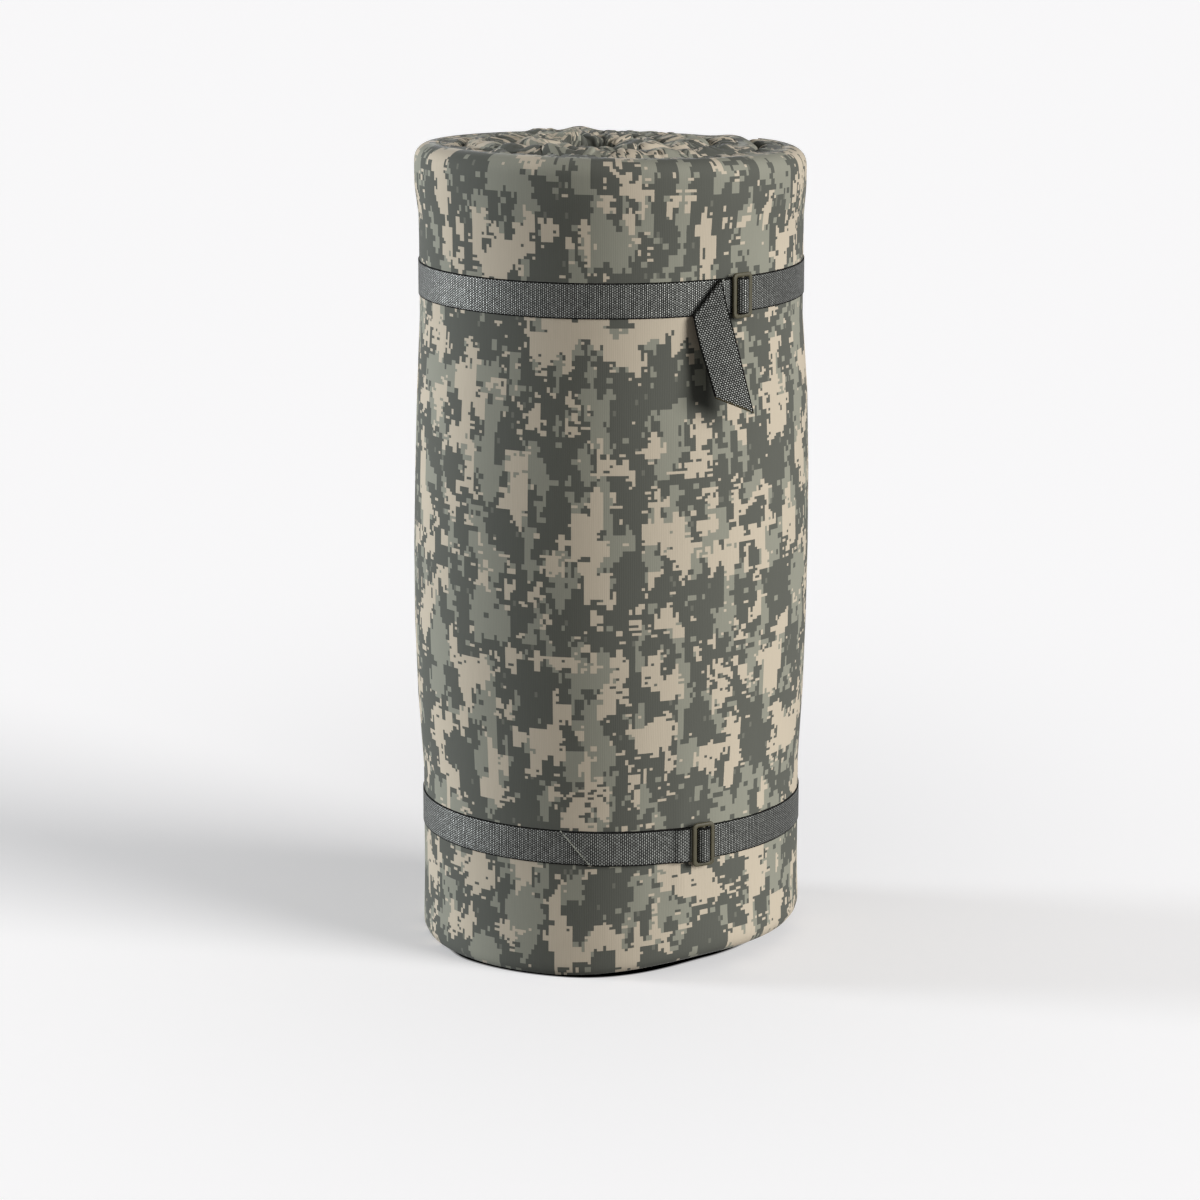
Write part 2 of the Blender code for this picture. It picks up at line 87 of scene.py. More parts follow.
STRAPS = []
WAISTS = []
for strap_name in ("top", "bottom"):
    buckle_place = Vector(joint_named(strap_name + "_buckle_tilt")["pos_m"])
    strap_bottom = buckle_place.z - WEB_WIDTH / 2
    STRAPS.append((strap_name, azimuth_of(buckle_place), strap_bottom))
    slide_down, slide_up = joint_named(strap_name + "_strap_slide")["range_m"]
    WAISTS.append((strap_bottom + slide_down, strap_bottom + WEB_WIDTH + slide_up))


def layer_radius(turned):
    """Radius of the middle of the slab, an angle inwards from the outer end."""
    return ROLL_END_RADIUS - COVER_HALF - TURN_PITCH * turned / FULL_TURN


def outline_radius(azimuth):
    """Radius of the cover's outer face on the outermost turn."""
    turned = np.mod(OUTER_END_AZIMUTH - azimuth, FULL_TURN)
    return layer_radius(turned) + COVER_HALF


def smooth_step(value):
    held = np.clip(value, 0.0, 1.0)
    return held * held * (3.0 - 2.0 * held)


EDGE_DRAW_START = 0.300
EDGE_DRAW_LENGTH = 0.120
TOP_EDGE_DRAW = 0.001
BOTTOM_EDGE_DRAW = 0.010


def edge_draw(turned):
    """How far the long edges have run in, from 0 on the mat to 1 near its outer end."""
    length = turned * layer_radius(turned / 2)
    return smooth_step((EDGE_DRAW_START - length) / EDGE_DRAW_LENGTH)


FACET_ANGLE = math.radians(12.0)
PRESS_RUN = 0.012


def chord_radius(azimuth, middle):
    """Radius of the flat that the taut webbing pulls across one facet."""
    first = middle - FACET_ANGLE / 2
    second = middle + FACET_ANGLE / 2
    start = outline_radius(first)
    end = outline_radius(second)
    bottom = start * np.sin(azimuth - first) + end * np.sin(second - azimuth)
    return start * end * math.sin(FACET_ANGLE) / np.maximum(bottom, 1e-6)


def strap_press(azimuth, height):
    """How much the cover is pulled flat under the buckles and the free ends."""
    press = np.zeros_like(height)
    for (_, buckle_azimuth, _), (low, high) in zip(STRAPS, WAISTS):
        beyond = np.maximum(low - height, height - high)
        share = 1.0 - smooth_step(beyond / PRESS_RUN)
        for count in (0, 1):
            middle = buckle_azimuth - FACET_ANGLE * count
            away = np.mod(azimuth - middle + math.pi, FULL_TURN) - math.pi
            flat = chord_radius(middle + away, middle) - outline_radius(middle + away)
            inside = np.abs(away) < FACET_ANGLE / 2
            press += np.where(inside, flat * share, 0.0)
    return press


BELLY_HEIGHT = 0.272
BELLY_REACH_UP = 0.200
BELLY_REACH_DOWN = 0.164
BELLY_SWELL = 0.0056
TOP_LIP_SWELL = 0.0022
TOP_LIP_RUN = 0.067
FOOT_SPREAD = 0.0014
WAIST_RUN = 0.028
WAVE_HEIGHT = 0.00045
WAVES = ((1.0, 2, 9.0, 0.4), (1.0, 3, -14.0, 2.0), (0.7, 5, 21.0, 4.0))


def swell(azimuth, height):
    """How far the roll's surface stands outside its even spiral, clear of the straps' way.

    Each slight wave of the hand-rolled cloth has a share, a count round the roll, a climb
    and a start.
    """
    above = height - BELLY_HEIGHT
    over = above / np.where(above > 0.0, BELLY_REACH_UP, BELLY_REACH_DOWN)
    out = BELLY_SWELL * np.cos(np.clip(over, -1.0, 1.0) * math.pi / 2)
    lip = (height - (STRAPS[0][2] + WEB_WIDTH)) / TOP_LIP_RUN
    out += TOP_LIP_SWELL * np.sin(np.clip(lip, 0.0, 1.0) * math.pi / 2)
    out += FOOT_SPREAD * np.clip(1.0 - height / STRAPS[1][2], 0.0, 1.0)
    calm = np.ones_like(height)
    for low, high in WAISTS:
        calm *= smooth_step(np.maximum(low - height, height - high) / WAIST_RUN)
    wave = sum(share * np.sin(count * azimuth + climb * height + start)
               for share, count, climb, start in WAVES)
    return calm * (out + WAVE_HEIGHT * wave)


CROWN_LIFT = 0.0022
CROWN_TILT_RIGHT = -0.012
CROWN_TILT_BACK = -0.0285
CROWN_RUN = 0.080
CROWN_FORMS = (
    (-0.0260, 0.022, 0.0100, 0.014, 0.0080),
    (-0.0235, 0.1160, 0.0110, 0.014, 0.0036),
    (-0.0050, -0.018, 0.0100, 0.016, -0.0075),
    (0.0880, 0.0540, 0.0170, 0.026, 0.0030),
    (0.0300, 0.1250, 0.0055, 0.012, 0.0022),
    (0.0600, 0.1180, 0.0065, 0.012, 0.0020),
    (-0.0570, 0.1180, 0.0040, 0.010, 0.0026),
    (-0.0450, 0.1220, 0.0035, 0.010, 0.0024),
)


def on_roll(turned, offset, height):
    """World places on the rolled slab, with its swell, its waists and its sloping crown.

    Each form of the crown is a hump or a hollow: its place to the right and back, its two
    half widths and its lift.
    """
    azimuth = OUTER_END_AZIMUTH - turned
    outline = outline_radius(azimuth)
    grown = swell(azimuth, height) + strap_press(azimuth, height)
    radius = (layer_radius(turned) + offset) * (1.0 + grown / outline)
    x = POLE.x + radius * np.sin(azimuth)
    y = POLE.y - radius * np.cos(azimuth)
    crown = smooth_step((height - MAT_WIDTH + CROWN_RUN) / CROWN_RUN)
    z = height + crown * (CROWN_LIFT + CROWN_TILT_RIGHT * x + CROWN_TILT_BACK * y)
    rim = smooth_step((height - MAT_WIDTH + 2 * RIM_DEPTH) / (2 * RIM_DEPTH))
    for form_x, form_y, wide, deep, lift in CROWN_FORMS:
        z = z + rim * lift * np.exp(-((x - form_x) / wide) ** 2 - ((y - form_y) / deep) ** 2)
    return np.stack([x, y, np.maximum(z, COVER_THICKNESS)], axis=-1)


def graded(marks, counts):
    """Row places from mark to mark, with a count of rows to each stretch between them."""
    places = [marks[0]]
    for start, end, count in zip(marks, marks[1:], counts):
        places += [start + (end - start) * step / count for step in range(1, count + 1)]
    return np.array(places)


LAYER_LENGTH = ROLL_ANGLE * layer_radius(ROLL_ANGLE / 2)
RIM_ARC = math.pi / 2 * math.sqrt((COVER_HALF ** 2 + RIM_DEPTH ** 2) / 2)
PANEL_HALF = MAT_WIDTH / 2 - RIM_DEPTH + RIM_ARC
LENGTH_HALF = LAYER_LENGTH / 2 - RIM_DEPTH + RIM_ARC


def turned_at(length):
    """Angle inwards at a length along the middle of the slab."""
    start = layer_radius(0.0)
    slope = TURN_PITCH / FULL_TURN
    return (start - np.sqrt(np.maximum(start ** 2 - 2 * slope * length, 0.0))) / slope


def rim_round(reach, edge, fullness=2.0):
    """Distance from the middle and share of the thickness, at a reach across a panel.

    A rim of fullness 2 is a half round, and a higher one is fuller at its corners.
    """
    over = np.clip((np.abs(reach) - (edge - RIM_ARC)) / RIM_ARC, 0.0, 1.0)
    angle = over * math.pi / 2
    flat = np.minimum(np.abs(reach), edge - RIM_ARC)
    out = np.abs(np.cos(angle))
    up = np.sin(angle)
    grown = (out ** fullness + up ** fullness) ** (-1.0 / fullness)
    return np.sign(reach) * (flat + RIM_DEPTH * up * grown), out * grown


TOP_RIM_FULLNESS = 2.5
VALLEY_FULLNESS = 4.2
VALLEY_START = 5.2
FOOT_RIM_FULLNESS = 5.0
DRAWN_FOOT_FULLNESS = 2.6


def slab_place(along, across, side, inset=0.0, proud=0.0):
    """World places on one face of the slab: reach along and across the panel, both signed."""
    run, end_share = rim_round(along, LENGTH_HALF)
    turned = turned_at(np.clip(LAYER_LENGTH / 2 + run * (1.0 - 2 * inset / LAYER_LENGTH), 0.0, None))
    drawn = edge_draw(turned)
    foot_fullness = FOOT_RIM_FULLNESS + (DRAWN_FOOT_FULLNESS - FOOT_RIM_FULLNESS) * drawn
    valley = smooth_step(turned - VALLEY_START) if side > 0 else 1.0
    top_fullness = TOP_RIM_FULLNESS + (VALLEY_FULLNESS - TOP_RIM_FULLNESS) * valley
    fullness = np.where(across > 0.0, top_fullness, foot_fullness)
    rise, edge_share = rim_round(across, PANEL_HALF, fullness)
    share = 1.0 - inset / (MAT_WIDTH / 2)
    shift = np.where(rise > 0.0, -TOP_EDGE_DRAW, BOTTOM_EDGE_DRAW) * drawn * np.abs(rise) * 2 / MAT_WIDTH
    height = MAT_WIDTH / 2 + rise * share + shift
    half = (COVER_HALF - inset) * end_share * edge_share
    outwards, upwards = edge_lean(across)
    return on_roll(turned, side * (half + proud * outwards), height + proud * upwards)


def edge_lean(across):
    """The way out of the panel on its rim: share through the thickness and share upwards."""
    over = np.clip((np.abs(across) - (PANEL_HALF - RIM_ARC)) / RIM_ARC, 0.0, 1.0)
    angle = over * math.pi / 2
    return np.cos(angle), np.sign(across) * np.sin(angle)


def add_object(name, data):
    made = bpy.data.objects.new(name, data)
    bpy.context.scene.collection.objects.link(made)
    return made


def add_shape(name, shape):
    """Make a finished shape an object."""
    mesh = bpy.data.meshes.new(name)
    shape.to_mesh(mesh)
    shape.free()
    return add_object(name, mesh)


def flat_sheet(along, across):
    """A flat grid with the steps of two tables of places, and a UV map called cloth."""
    sheet = bmesh.new()
    sheet.loops.layers.uv.new("cloth")
    bmesh.ops.create_grid(sheet, x_segments=len(along) - 1, y_segments=len(across) - 1, size=0.5,
                          calc_uvs=True)
    return sheet


def finish_sheet(name, sheet, along, across, place, flip, cut=None, start_length=0.0):
    """Lay a flat grid out by tables of its column and row places, and make it an object.

    The attribute to_cut gives the length from each corner to the sheet's last column.
    """
    columns = len(along) - 1
    rows = len(across) - 1
    if flip:
        bmesh.ops.reverse_faces(sheet, faces=sheet.faces)
    made = add_shape(name, sheet)
    mesh = made.data
    flat = np.zeros(len(mesh.vertices) * 3)
    mesh.vertices.foreach_get("co", flat)
    flat = flat.reshape(-1, 3)
    reach_along = np.interp((flat[:, 0] + 0.5) * columns, np.arange(columns + 1), along)
    reach_across = np.interp((flat[:, 1] + 0.5) * rows, np.arange(rows + 1), across)
    mesh.vertices.foreach_set("co", place(reach_along, reach_across).ravel())
    corners = np.zeros(len(mesh.loops), dtype=np.int32)
    mesh.loops.foreach_get("vertex_index", corners)
    run = reach_along if cut is None else cut(reach_along, reach_across)
    cloth_places = np.stack([start_length + run[corners], reach_across[corners]], axis=-1)
    mesh.uv_layers["cloth"].data.foreach_set("uv", cloth_places.ravel())
    to_cut = mesh.attributes.new("to_cut", "FLOAT", "POINT")
    last = cut(np.full_like(reach_across, along[-1]), reach_across) if cut else along[-1]
    to_cut.data.foreach_set("value", last - run)
    mesh.shade_smooth()
    mesh.update()
    return made


def maths(operation, swapped=False):
    """A way to add one kind of Math node, with the wire first or last."""
    def add(wire, *others):
        values = (*others, wire) if swapped else (wire, *others)
        return wire.finish.node("ShaderNodeMath", {"operation": operation}, *values)
    return add


class Wire:
    """A socket among a finish's nodes. Arithmetic on it adds Math nodes."""

    def __init__(self, finish, socket):
        self.finish = finish
        self.socket = socket

    __add__ = maths("ADD")
    __radd__ = maths("ADD", swapped=True)
    __sub__ = maths("SUBTRACT")
    __rsub__ = maths("SUBTRACT", swapped=True)
    __mul__ = maths("MULTIPLY")
    __rmul__ = maths("MULTIPLY", swapped=True)
    __truediv__ = maths("DIVIDE")
    __pow__ = maths("POWER")
    __rpow__ = maths("POWER", swapped=True)
    __mod__ = maths("FLOORED_MODULO")
    __gt__ = maths("GREATER_THAN")
    __lt__ = maths("LESS_THAN")
    floor = maths("FLOOR")
    fraction = maths("FRACT")
    cosine = maths("COSINE")
    azimuth = maths("ARCTAN2")
    most = maths("MAXIMUM")
    least = maths("MINIMUM")

    def held(self):
        """Held between 0 and 1."""
        return self.most(0.0).least(1.0)

    def eased(self):
        """Held between 0 and 1, with a soft start and end."""
        held = self.held()
        return held * held * (3.0 - 2.0 * held)


class Finish:
    """A Principled material whose pattern is written as expressions."""

    def __init__(self, name, **constants):
        self.material = bpy.data.materials.new(name)
        self.material.use_nodes = True
        self.tree = self.material.node_tree
        self.shader = self.tree.nodes["Principled BSDF"]
        self.give(**constants)

    @classmethod
    def for_world(cls, world):
        """The same for a world, whose shader is its background."""
        made = cls.__new__(cls)
        made.tree = world.node_tree
        made.shader = made.tree.nodes["Background"]
        return made

    def node(self, kind, settings, *values, output=0, **named):
        """Any node: its type, its settings, its sockets' values or links, and its output."""
        made = self.tree.nodes.new(kind)
        for setting, value in settings.items():
            setattr(made, setting, value)
        for index, value in enumerate(values):
            self.feed(made.inputs[index], value)
        for socket, value in named.items():
            self.feed(made.inputs[socket.replace("_", " ")], value)
        return Wire(self, made.outputs[output])

    def feed(self, socket, value):
        if isinstance(value, Wire):
            self.tree.links.new(value.socket, socket)
        elif socket.type == "RGBA" and len(value) == 3:
            socket.default_value = (*value, 1.0)
        else:
            socket.default_value = value

    def mix(self, mask, below, above):
        """One colour over another where the mask is 1."""
        made = self.tree.nodes.new("ShaderNodeMix")
        made.data_type = "RGBA"
        self.feed(made.inputs[0], mask)
        self.feed(made.inputs[6], below)
        self.feed(made.inputs[7], above)
        return Wire(self, made.outputs[2])

    def shade(self, colour, amount):
        """A colour made lighter or darker by a number."""
        return self.node("ShaderNodeVectorMath", {"operation": "SCALE"}, colour, Scale=amount)

    def places(self, layer):
        """The two flat coordinates of a UV map, in metres."""
        flat = self.node("ShaderNodeUVMap", {"uv_map": layer})
        return self.split(flat)[:2]

    def seen_directly(self):
        """1 for what is seen straight, in a mirror or through glass, and 0 for bounced light."""
        straight, mirrored, through = (self.node("ShaderNodeLightPath", {}, output=way) for way in (0, 3, 6))
        return straight.most(mirrored).most(through)

    def object_places(self):
        return self.node("ShaderNodeTexCoord", {}, output=3)

    def split(self, place):
        """The three coordinates of a place."""
        apart = self.node("ShaderNodeSeparateXYZ", {}, place)
        return [Wire(self, socket) for socket in apart.socket.node.outputs]

    def at(self, x, y, z):
        return self.node("ShaderNodeCombineXYZ", {}, x, y, z)

    def noise(self, place, scale, detail=2.0, roughness=0.5):
        return self.node("ShaderNodeTexNoise", {}, Vector=place, Scale=scale, Detail=detail,
                         Roughness=roughness)

    def speckle(self, place):
        return self.node("ShaderNodeTexWhiteNoise", {}, place)

    def bump(self, height, distance):
        """Small relief on the surface, as a height from 0 to 1 times a distance."""
        self.give(Normal=self.node("ShaderNodeBump", {}, Height=height, Distance=distance, Strength=1.0))

    def give(self, **inputs):
        """Set or link inputs of the shader."""
        for socket, value in inputs.items():
            self.feed(self.shader.inputs[socket.replace("_", " ")], value)


PORES_PER_METRE = 900.0
CLOUDS_PER_METRE = 30.0
PORE_DEPTH = 0.0003
FOAM_DARK = (0.13, 0.14, 0.12)
FOAM_LIGHT = (0.20, 0.21, 0.18)


def foam_finish():
    """Grey-green closed-cell foam, with fine pores on its cut skin, each painted darker in its pit as
    painted shade.
    """
    foam = Finish("closed_cell_foam")
    place = foam.object_places()
    pores = foam.node("ShaderNodeTexVoronoi", {}, Vector=place, Scale=PORES_PER_METRE)
    colour = foam.mix(foam.noise(place, CLOUDS_PER_METRE, 3.0), FOAM_DARK, FOAM_LIGHT)
    # Painted shade: each pore is darker towards its middle, where its pit is deepest.
    foam.give(Base_Color=foam.shade(colour, 0.7 + 0.5 * pores), Roughness=0.9 + 0.08 * pores)
    foam.bump(pores, PORE_DEPTH)
    return foam.material


RIM_STEPS = 6
FOAM_COLUMNS = 300
FOAM_ROWS = 30
WELD_DISTANCE = 1e-5


def rimmed(half, count):
    """Row places over a face, and closer together round the rims at its two ends."""
    edge = half - RIM_ARC
    return graded((-half, -edge, edge, half), (RIM_STEPS, count, RIM_STEPS))


foam_along = rimmed(LENGTH_HALF, FOAM_COLUMNS)
foam_across = rimmed(PANEL_HALF, FOAM_ROWS)
foam_join = bmesh.new()
for foam_side in (1, -1):
    foam_sheet = flat_sheet(foam_along, foam_across)
    foam_face = finish_sheet(
        "foam_face", foam_sheet, foam_along, foam_across,
        lambda along, across: slab_place(along, across, foam_side, FOAM_INSET), foam_side < 0)
    foam_join.from_mesh(foam_face.data)
    bpy.data.objects.remove(foam_face)
bmesh.ops.remove_doubles(foam_join, verts=foam_join.verts, dist=WELD_DISTANCE)
bmesh.ops.recalc_face_normals(foam_join, faces=foam_join.faces)
foam_slab = add_shape("foam_slab", foam_join)
foam_slab.data.materials.append(foam_finish())
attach(foam_slab, "roll")
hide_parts("foam_core")

# The cover, two panels of printed ripstop cotton sewn together along the rims and ends.
# The outer panel is pulled smooth over the roll. The inner one has cloth to spare on the
# inside of each turn, so it gathers into pleats that radiate over the roll's top and foot.

CAMO_CELL = 0.0019
TAN_LEVEL = 0.104
GREEN_LEVEL = 0.085
MIDDLING_SHARE = 0.80
SMALL_SHARE = 0.16
STRAY_SHARE = 0.16
CLOTH_DARK = (0.098, 0.100, 0.085)
CLOTH_GREEN = (0.250, 0.248, 0.200)
CLOTH_TAN = (0.485, 0.420, 0.325)
RIB_PITCH = 0.0011
PICK_PITCH = 0.0006
SLUBS_PER_METRE = (900.0, 60.0)
FADES_PER_METRE = (9.0, 6.0)
WEAVE_DEPTH = 0.00010


def camouflage(name, shift):
    """Printed digital camouflage: ragged blotches of small squares in three colours.

    Each field adds large, middling and small noise, and is read once for each block of
    squares, so that its outline runs in steps. Lengths of blotches are in metres.
    """
    cloth = Finish(name, Sheen_Weight=0.12, Sheen_Roughness=0.30, Specular_IOR_Level=0.10)
    u, v = cloth.places("cloth")
    column = ((u + shift) / CAMO_CELL).floor()
    row = ((v + shift) / CAMO_CELL).floor()

    def blotches(block_wide, block_high, wide, high, seed):
        x = (column / block_wide).floor() * (block_wide * CAMO_CELL / wide)
        y = (row / block_high).floor() * (block_high * CAMO_CELL / high)
        return cloth.noise(cloth.at(x, y, seed), 1.0, 0.0) - 0.5

    def dashes(block_wide, block_high, seed):
        """A number for each dash, every other row of them moved along by a square."""
        line = (row / block_high).floor()
        return cloth.speckle(cloth.at(((column + line % 2.0) / block_wide).floor(), line, seed))

    def strays(number, chance):
        """The few dashes that stand alone in the other colour, by a chance of each kind."""
        return STRAY_SHARE * ((number > 1.0 - chance) - (number < chance))

    tan = blotches(2.0, 2.0, 0.022, 0.050, 2.0) + MIDDLING_SHARE * blotches(2.0, 2.0, 0.0095, 0.021, 5.0)
    dash = dashes(2.0, 1.0, 3.0)
    tan = tan + 0.05 * (dash - 0.5) + strays(dash, 0.03)
    tan = tan + 0.15 * (dashes(2.0, 2.0, 17.0) - 0.5)
    tan = tan + SMALL_SHARE * blotches(1.0, 2.0, 0.0042, 0.0080, 11.0)
    green = blotches(2.0, 2.0, 0.023, 0.052, 21.0)
    green = green + MIDDLING_SHARE * blotches(1.0, 2.0, 0.0095, 0.024, 25.0)
    square = dashes(2.0, 2.0, 8.0)
    green = green + 0.16 * (square - 0.5) + strays(square, 0.04)
    faint = 0.35 * (dashes(1.0, 2.0, 14.0) > 0.985)
    colour = cloth.mix(faint, CLOTH_DARK, CLOTH_GREEN)
    colour = cloth.mix(green > GREEN_LEVEL, colour, CLOTH_GREEN)
    colour = cloth.mix(tan > TAN_LEVEL, colour, CLOTH_TAN)
    rib = (u * (FULL_TURN / RIB_PITCH)).cosine() * 0.5 + 0.5
    pick = (v * (FULL_TURN / PICK_PITCH)).cosine() * 0.5 + 0.5
    slub = cloth.noise(cloth.at(u * SLUBS_PER_METRE[0], v * SLUBS_PER_METRE[1], 5.0), 1.0, 2.0)
    fade = cloth.noise(cloth.at(u * FADES_PER_METRE[0], v * FADES_PER_METRE[1], 7.0), 1.0, 3.0)
    weave = 0.93 + 0.06 * rib + 0.10 * (slub - 0.5) + 0.14 * (fade - 0.5)
    cloth.give(Base_Color=cloth.shade(colour, weave), Roughness=0.86 + 0.08 * slub)
    cloth.bump(0.4 * rib + 0.2 * pick + 0.4 * slub, WEAVE_DEPTH)
    return cloth.material


GATHER_SEED = 7
BROAD_PLEATS = {"spacing": (0.0105, 0.0240), "height": 0.26, "start": (-0.001, 0.006), "slant": 0.90}
SMALL_PLEATS = {"spacing": (0.0038, 0.0080), "height": 0.26, "start": (-0.003, 0.006), "slant": 0.60}
PLEAT_SIZES = (0.40, 1.0)
PLEAT_RISE = 0.008
PLEAT_ROUNDNESS = 0.7
PLEAT_LEAN = 1.4
PRINT_JUMP = 0.009
ARCH_SHARE = 0.5
SLANT_REACH = 0.016
INNER_TURN_START = -0.014
OUTER_TURN_LENGTH = 0.80
OUTER_TURN_FADE = 0.2
OUTER_TURN_SHARE = 0.62
GATHERS_END = 0.014
GATHERS_END_RUN = 0.012
SEAM_DIP = 0.0020
SEAM_DIP_START = -0.006
SEAM_DIP_RUN = 0.015
CALM_END = 0.010
CALM_END_RUN = 0.015


def pleats(along, reach, inwards, draw, kind):
    """Round folds with sharp creases between them, each with its own start, slant and lean.

    The values are the fold's height, its lean sideways over the next crease, and how far
    the print has moved along because more cloth lies in the creases.
    """
    creases = [-LENGTH_HALF]
    while creases[-1] < LENGTH_HALF + 0.02:
        creases.append(creases[-1] + draw.uniform(*kind["spacing"]))
    creases = np.array(creases)
    count = len(creases)
    slants = draw.uniform(-kind["slant"], kind["slant"], count)
    starts = draw.uniform(*kind["start"], count)
    sizes = draw.uniform(*PLEAT_SIZES, count)
    leans = draw.uniform(-PLEAT_LEAN, PLEAT_LEAN, count)
    jumps = draw.uniform(-PRINT_JUMP, PRINT_JUMP, count)
    moved = along - np.interp(along, creases, slants) * np.maximum(reach, -SLANT_REACH)
    index = np.clip(np.searchsorted(creases, moved) - 1, 0, count - 2)
    spacing = creases[index + 1] - creases[index]
    over = np.clip((moved - creases[index]) / spacing, 0.0, 1.0)
    start = starts[index] + (starts[index + 1] - starts[index]) * over + INNER_TURN_START * inwards
    rise = smooth_step((reach - start) / PLEAT_RISE)
    arch = np.sin(math.pi * over) ** PLEAT_ROUNDNESS
    height = kind["height"] * spacing * sizes[index] * arch * rise
    return height, height * leans[index], rise * (jumps[index] + ARCH_SHARE * (over - 0.5) * spacing)


def gathers(along, reach):
    """How the gathered cloth stands off the rim, leans over and carries the print along.

    The reach counts from the seam: negative over the outer panel, positive over the inner.
    """
    draw = np.random.default_rng(GATHER_SEED)
    inwards = smooth_step((along + LENGTH_HALF - OUTER_TURN_LENGTH + OUTER_TURN_FADE / 2) / OUTER_TURN_FADE)
    broad = pleats(along, reach, inwards, draw, BROAD_PLEATS)
    small = pleats(along, reach, inwards, draw, SMALL_PLEATS)
    share = OUTER_TURN_SHARE + (1.0 - OUTER_TURN_SHARE) * inwards
    fall = 1.0 - smooth_step((reach - GATHERS_END) / GATHERS_END_RUN)
    dip = SEAM_DIP * smooth_step((reach - SEAM_DIP_START) / SEAM_DIP_RUN)
    ends = smooth_step((LENGTH_HALF - CALM_END - np.abs(along)) / CALM_END_RUN)
    proud = ((broad[0] + small[0]) * share * ends - dip) * fall
    return proud, (broad[1] + small[1]) * share * ends * fall, (broad[2] + small[2]) * ends * fall


RIM_ROWS = 13
RIM_SKIRT = 0.018
RIM_SKIRT_ROWS = 5
FOOT_ROWS = 6
PLEAT_CUTS = 3
PANEL_COLUMNS = 388
OUTER_FACE_COUNTS = (2, 12, 6, 12, 2)
INNER_FACE_ROWS = 8
STRAP_SIDE_RUN = 0.028
FOOT_GATHERS_START = 0.006
FOOT_GATHERS_RUN = 0.008


def cover_panel(name, side, face_marks, face_counts):
    """One panel of the cover, laid over its side of the rolled slab.

    Its rows lie close together over each rim, and on the face as the marks and counts say.
    """
    along = rimmed(LENGTH_HALF, PANEL_COLUMNS)
    edge = PANEL_HALF - RIM_ARC
    skirt = edge - RIM_SKIRT
    marks = (-PANEL_HALF, -edge, -skirt, *face_marks, skirt, edge, PANEL_HALF)
    across = graded(marks, (FOOT_ROWS, RIM_SKIRT_ROWS, *face_counts, RIM_SKIRT_ROWS, RIM_ROWS))
    sheet = flat_sheet(along, across)
    rim_edge = 0.5 - (RIM_ROWS + RIM_SKIRT_ROWS - 0.5) / (len(across) - 1)
    fine = [line for line in sheet.edges if abs(line.verts[0].co.y - line.verts[1].co.y) < 1e-6
            and line.verts[0].co.y > rim_edge]
    bmesh.ops.subdivide_edges(sheet, edges=fine, cuts=PLEAT_CUTS, use_grid_fill=True)

    def gathered(reach_along, reach_across):
        """The gathers of the whole rim at the top, and at the foot only those under the roll."""
        reach = -side * (PANEL_HALF - np.abs(reach_across))
        under = smooth_step((reach - FOOT_GATHERS_START) / FOOT_GATHERS_RUN)
        return [np.where(reach_across > 0.0, value, value * under) for value in gathers(reach_along, reach)]

    def place(reach_along, reach_across):
        proud, lean, _ = gathered(reach_along, reach_across)
        return slab_place(reach_along + lean, reach_across, side, 0.0, proud)

    def print_along(reach_along, reach_across):
        return reach_along + gathered(reach_along, reach_across)[2]

    return finish_sheet(name, sheet, along, across, place, side < 0, print_along)


strap_marks = []
for _, _, bottom in reversed(STRAPS):
    middle = bottom + WEB_WIDTH / 2 - MAT_WIDTH / 2
    strap_marks += [middle - STRAP_SIDE_RUN, middle + STRAP_SIDE_RUN]
outer_panel = cover_panel("cover_outer_cloth", 1, strap_marks, OUTER_FACE_COUNTS)
inner_panel = cover_panel("cover_inner_cloth", -1, (), (INNER_FACE_ROWS,))
for panel, node, slot, shift in (
    (outer_panel, "cover_outer_panel", "outer_fabric", 0.0),
    (inner_panel, "cover_inner_panel", "inner_fabric", 3.1),
):
    panel.data.materials.append(camouflage("camouflage_" + slot, shift))
    wall = panel.modifiers.new("cloth thickness", "SOLIDIFY")
    wall.thickness = COVER_THICKNESS
    wall.offset = -1.0
    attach(panel, "roll")
    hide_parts(node)

# The straps.
# Grey 25 mm webbing, ribbed across, one strap near each end of the roll. The end sewn to the
# slide's middle bar lies under the free end, and the strap goes once round and back through.

WEB_THICKNESS = 0.0014
WEB_CLEARANCE = 0.0003
WEB_LAYER = WEB_THICKNESS + WEB_CLEARANCE
FIRST_LAYER = WEB_CLEARANCE + WEB_THICKNESS / 2
SECOND_LAYER = FIRST_LAYER + WEB_LAYER
THIRD_LAYER = SECOND_LAYER + WEB_LAYER
BAR_HEIGHT = 0.0025
BAR_CENTRE = THIRD_LAYER + WEB_THICKNESS / 2 + WEB_CLEARANCE + BAR_HEIGHT / 2
WRAP_RADIUS = BAR_HEIGHT / 2 + WEB_CLEARANCE + WEB_THICKNESS / 2
THREAD_RADIUS = WRAP_RADIUS + WEB_LAYER
WRAP_SLOPE = math.radians(39.0)
LEFT_BEND_RADIUS = 0.0026
RIGHT_BEND_RADIUS = 0.0020
SEWN_END_LENGTH = 0.0135
SLOT_CLEARANCE = 0.00095
SIDE_BAR_WIDTH = 0.0034
WINDOW_HALF = THREAD_RADIUS + WEB_THICKNESS / 2 + SLOT_CLEARANCE
SIDE_BAR_OUTER = WINDOW_HALF + SIDE_BAR_WIDTH
TOP_TAIL_STUB = 0.0062
FOLD_ANGLE = math.radians(48.5)
FOLD_RUN = WEB_WIDTH / math.tan(FOLD_ANGLE)
PATH_STEP = 0.0025
BEND_STEPS = 6
WEB_ROWS = 10
SOFT_EDGE = 0.0004
RIB_WIDE = 0.00150
RIB_DEPTH = 0.00030
BEAD_SHARPNESS = 2.4
SELVEDGE_START = 0.86
FUZZ_PER_METRE = 700.0
# The near-black colour is painted shade between the yarn floats.
WEB_GAP_SHADE = (0.004, 0.004, 0.0036)
WEB_LIGHT = (0.368, 0.375, 0.350)
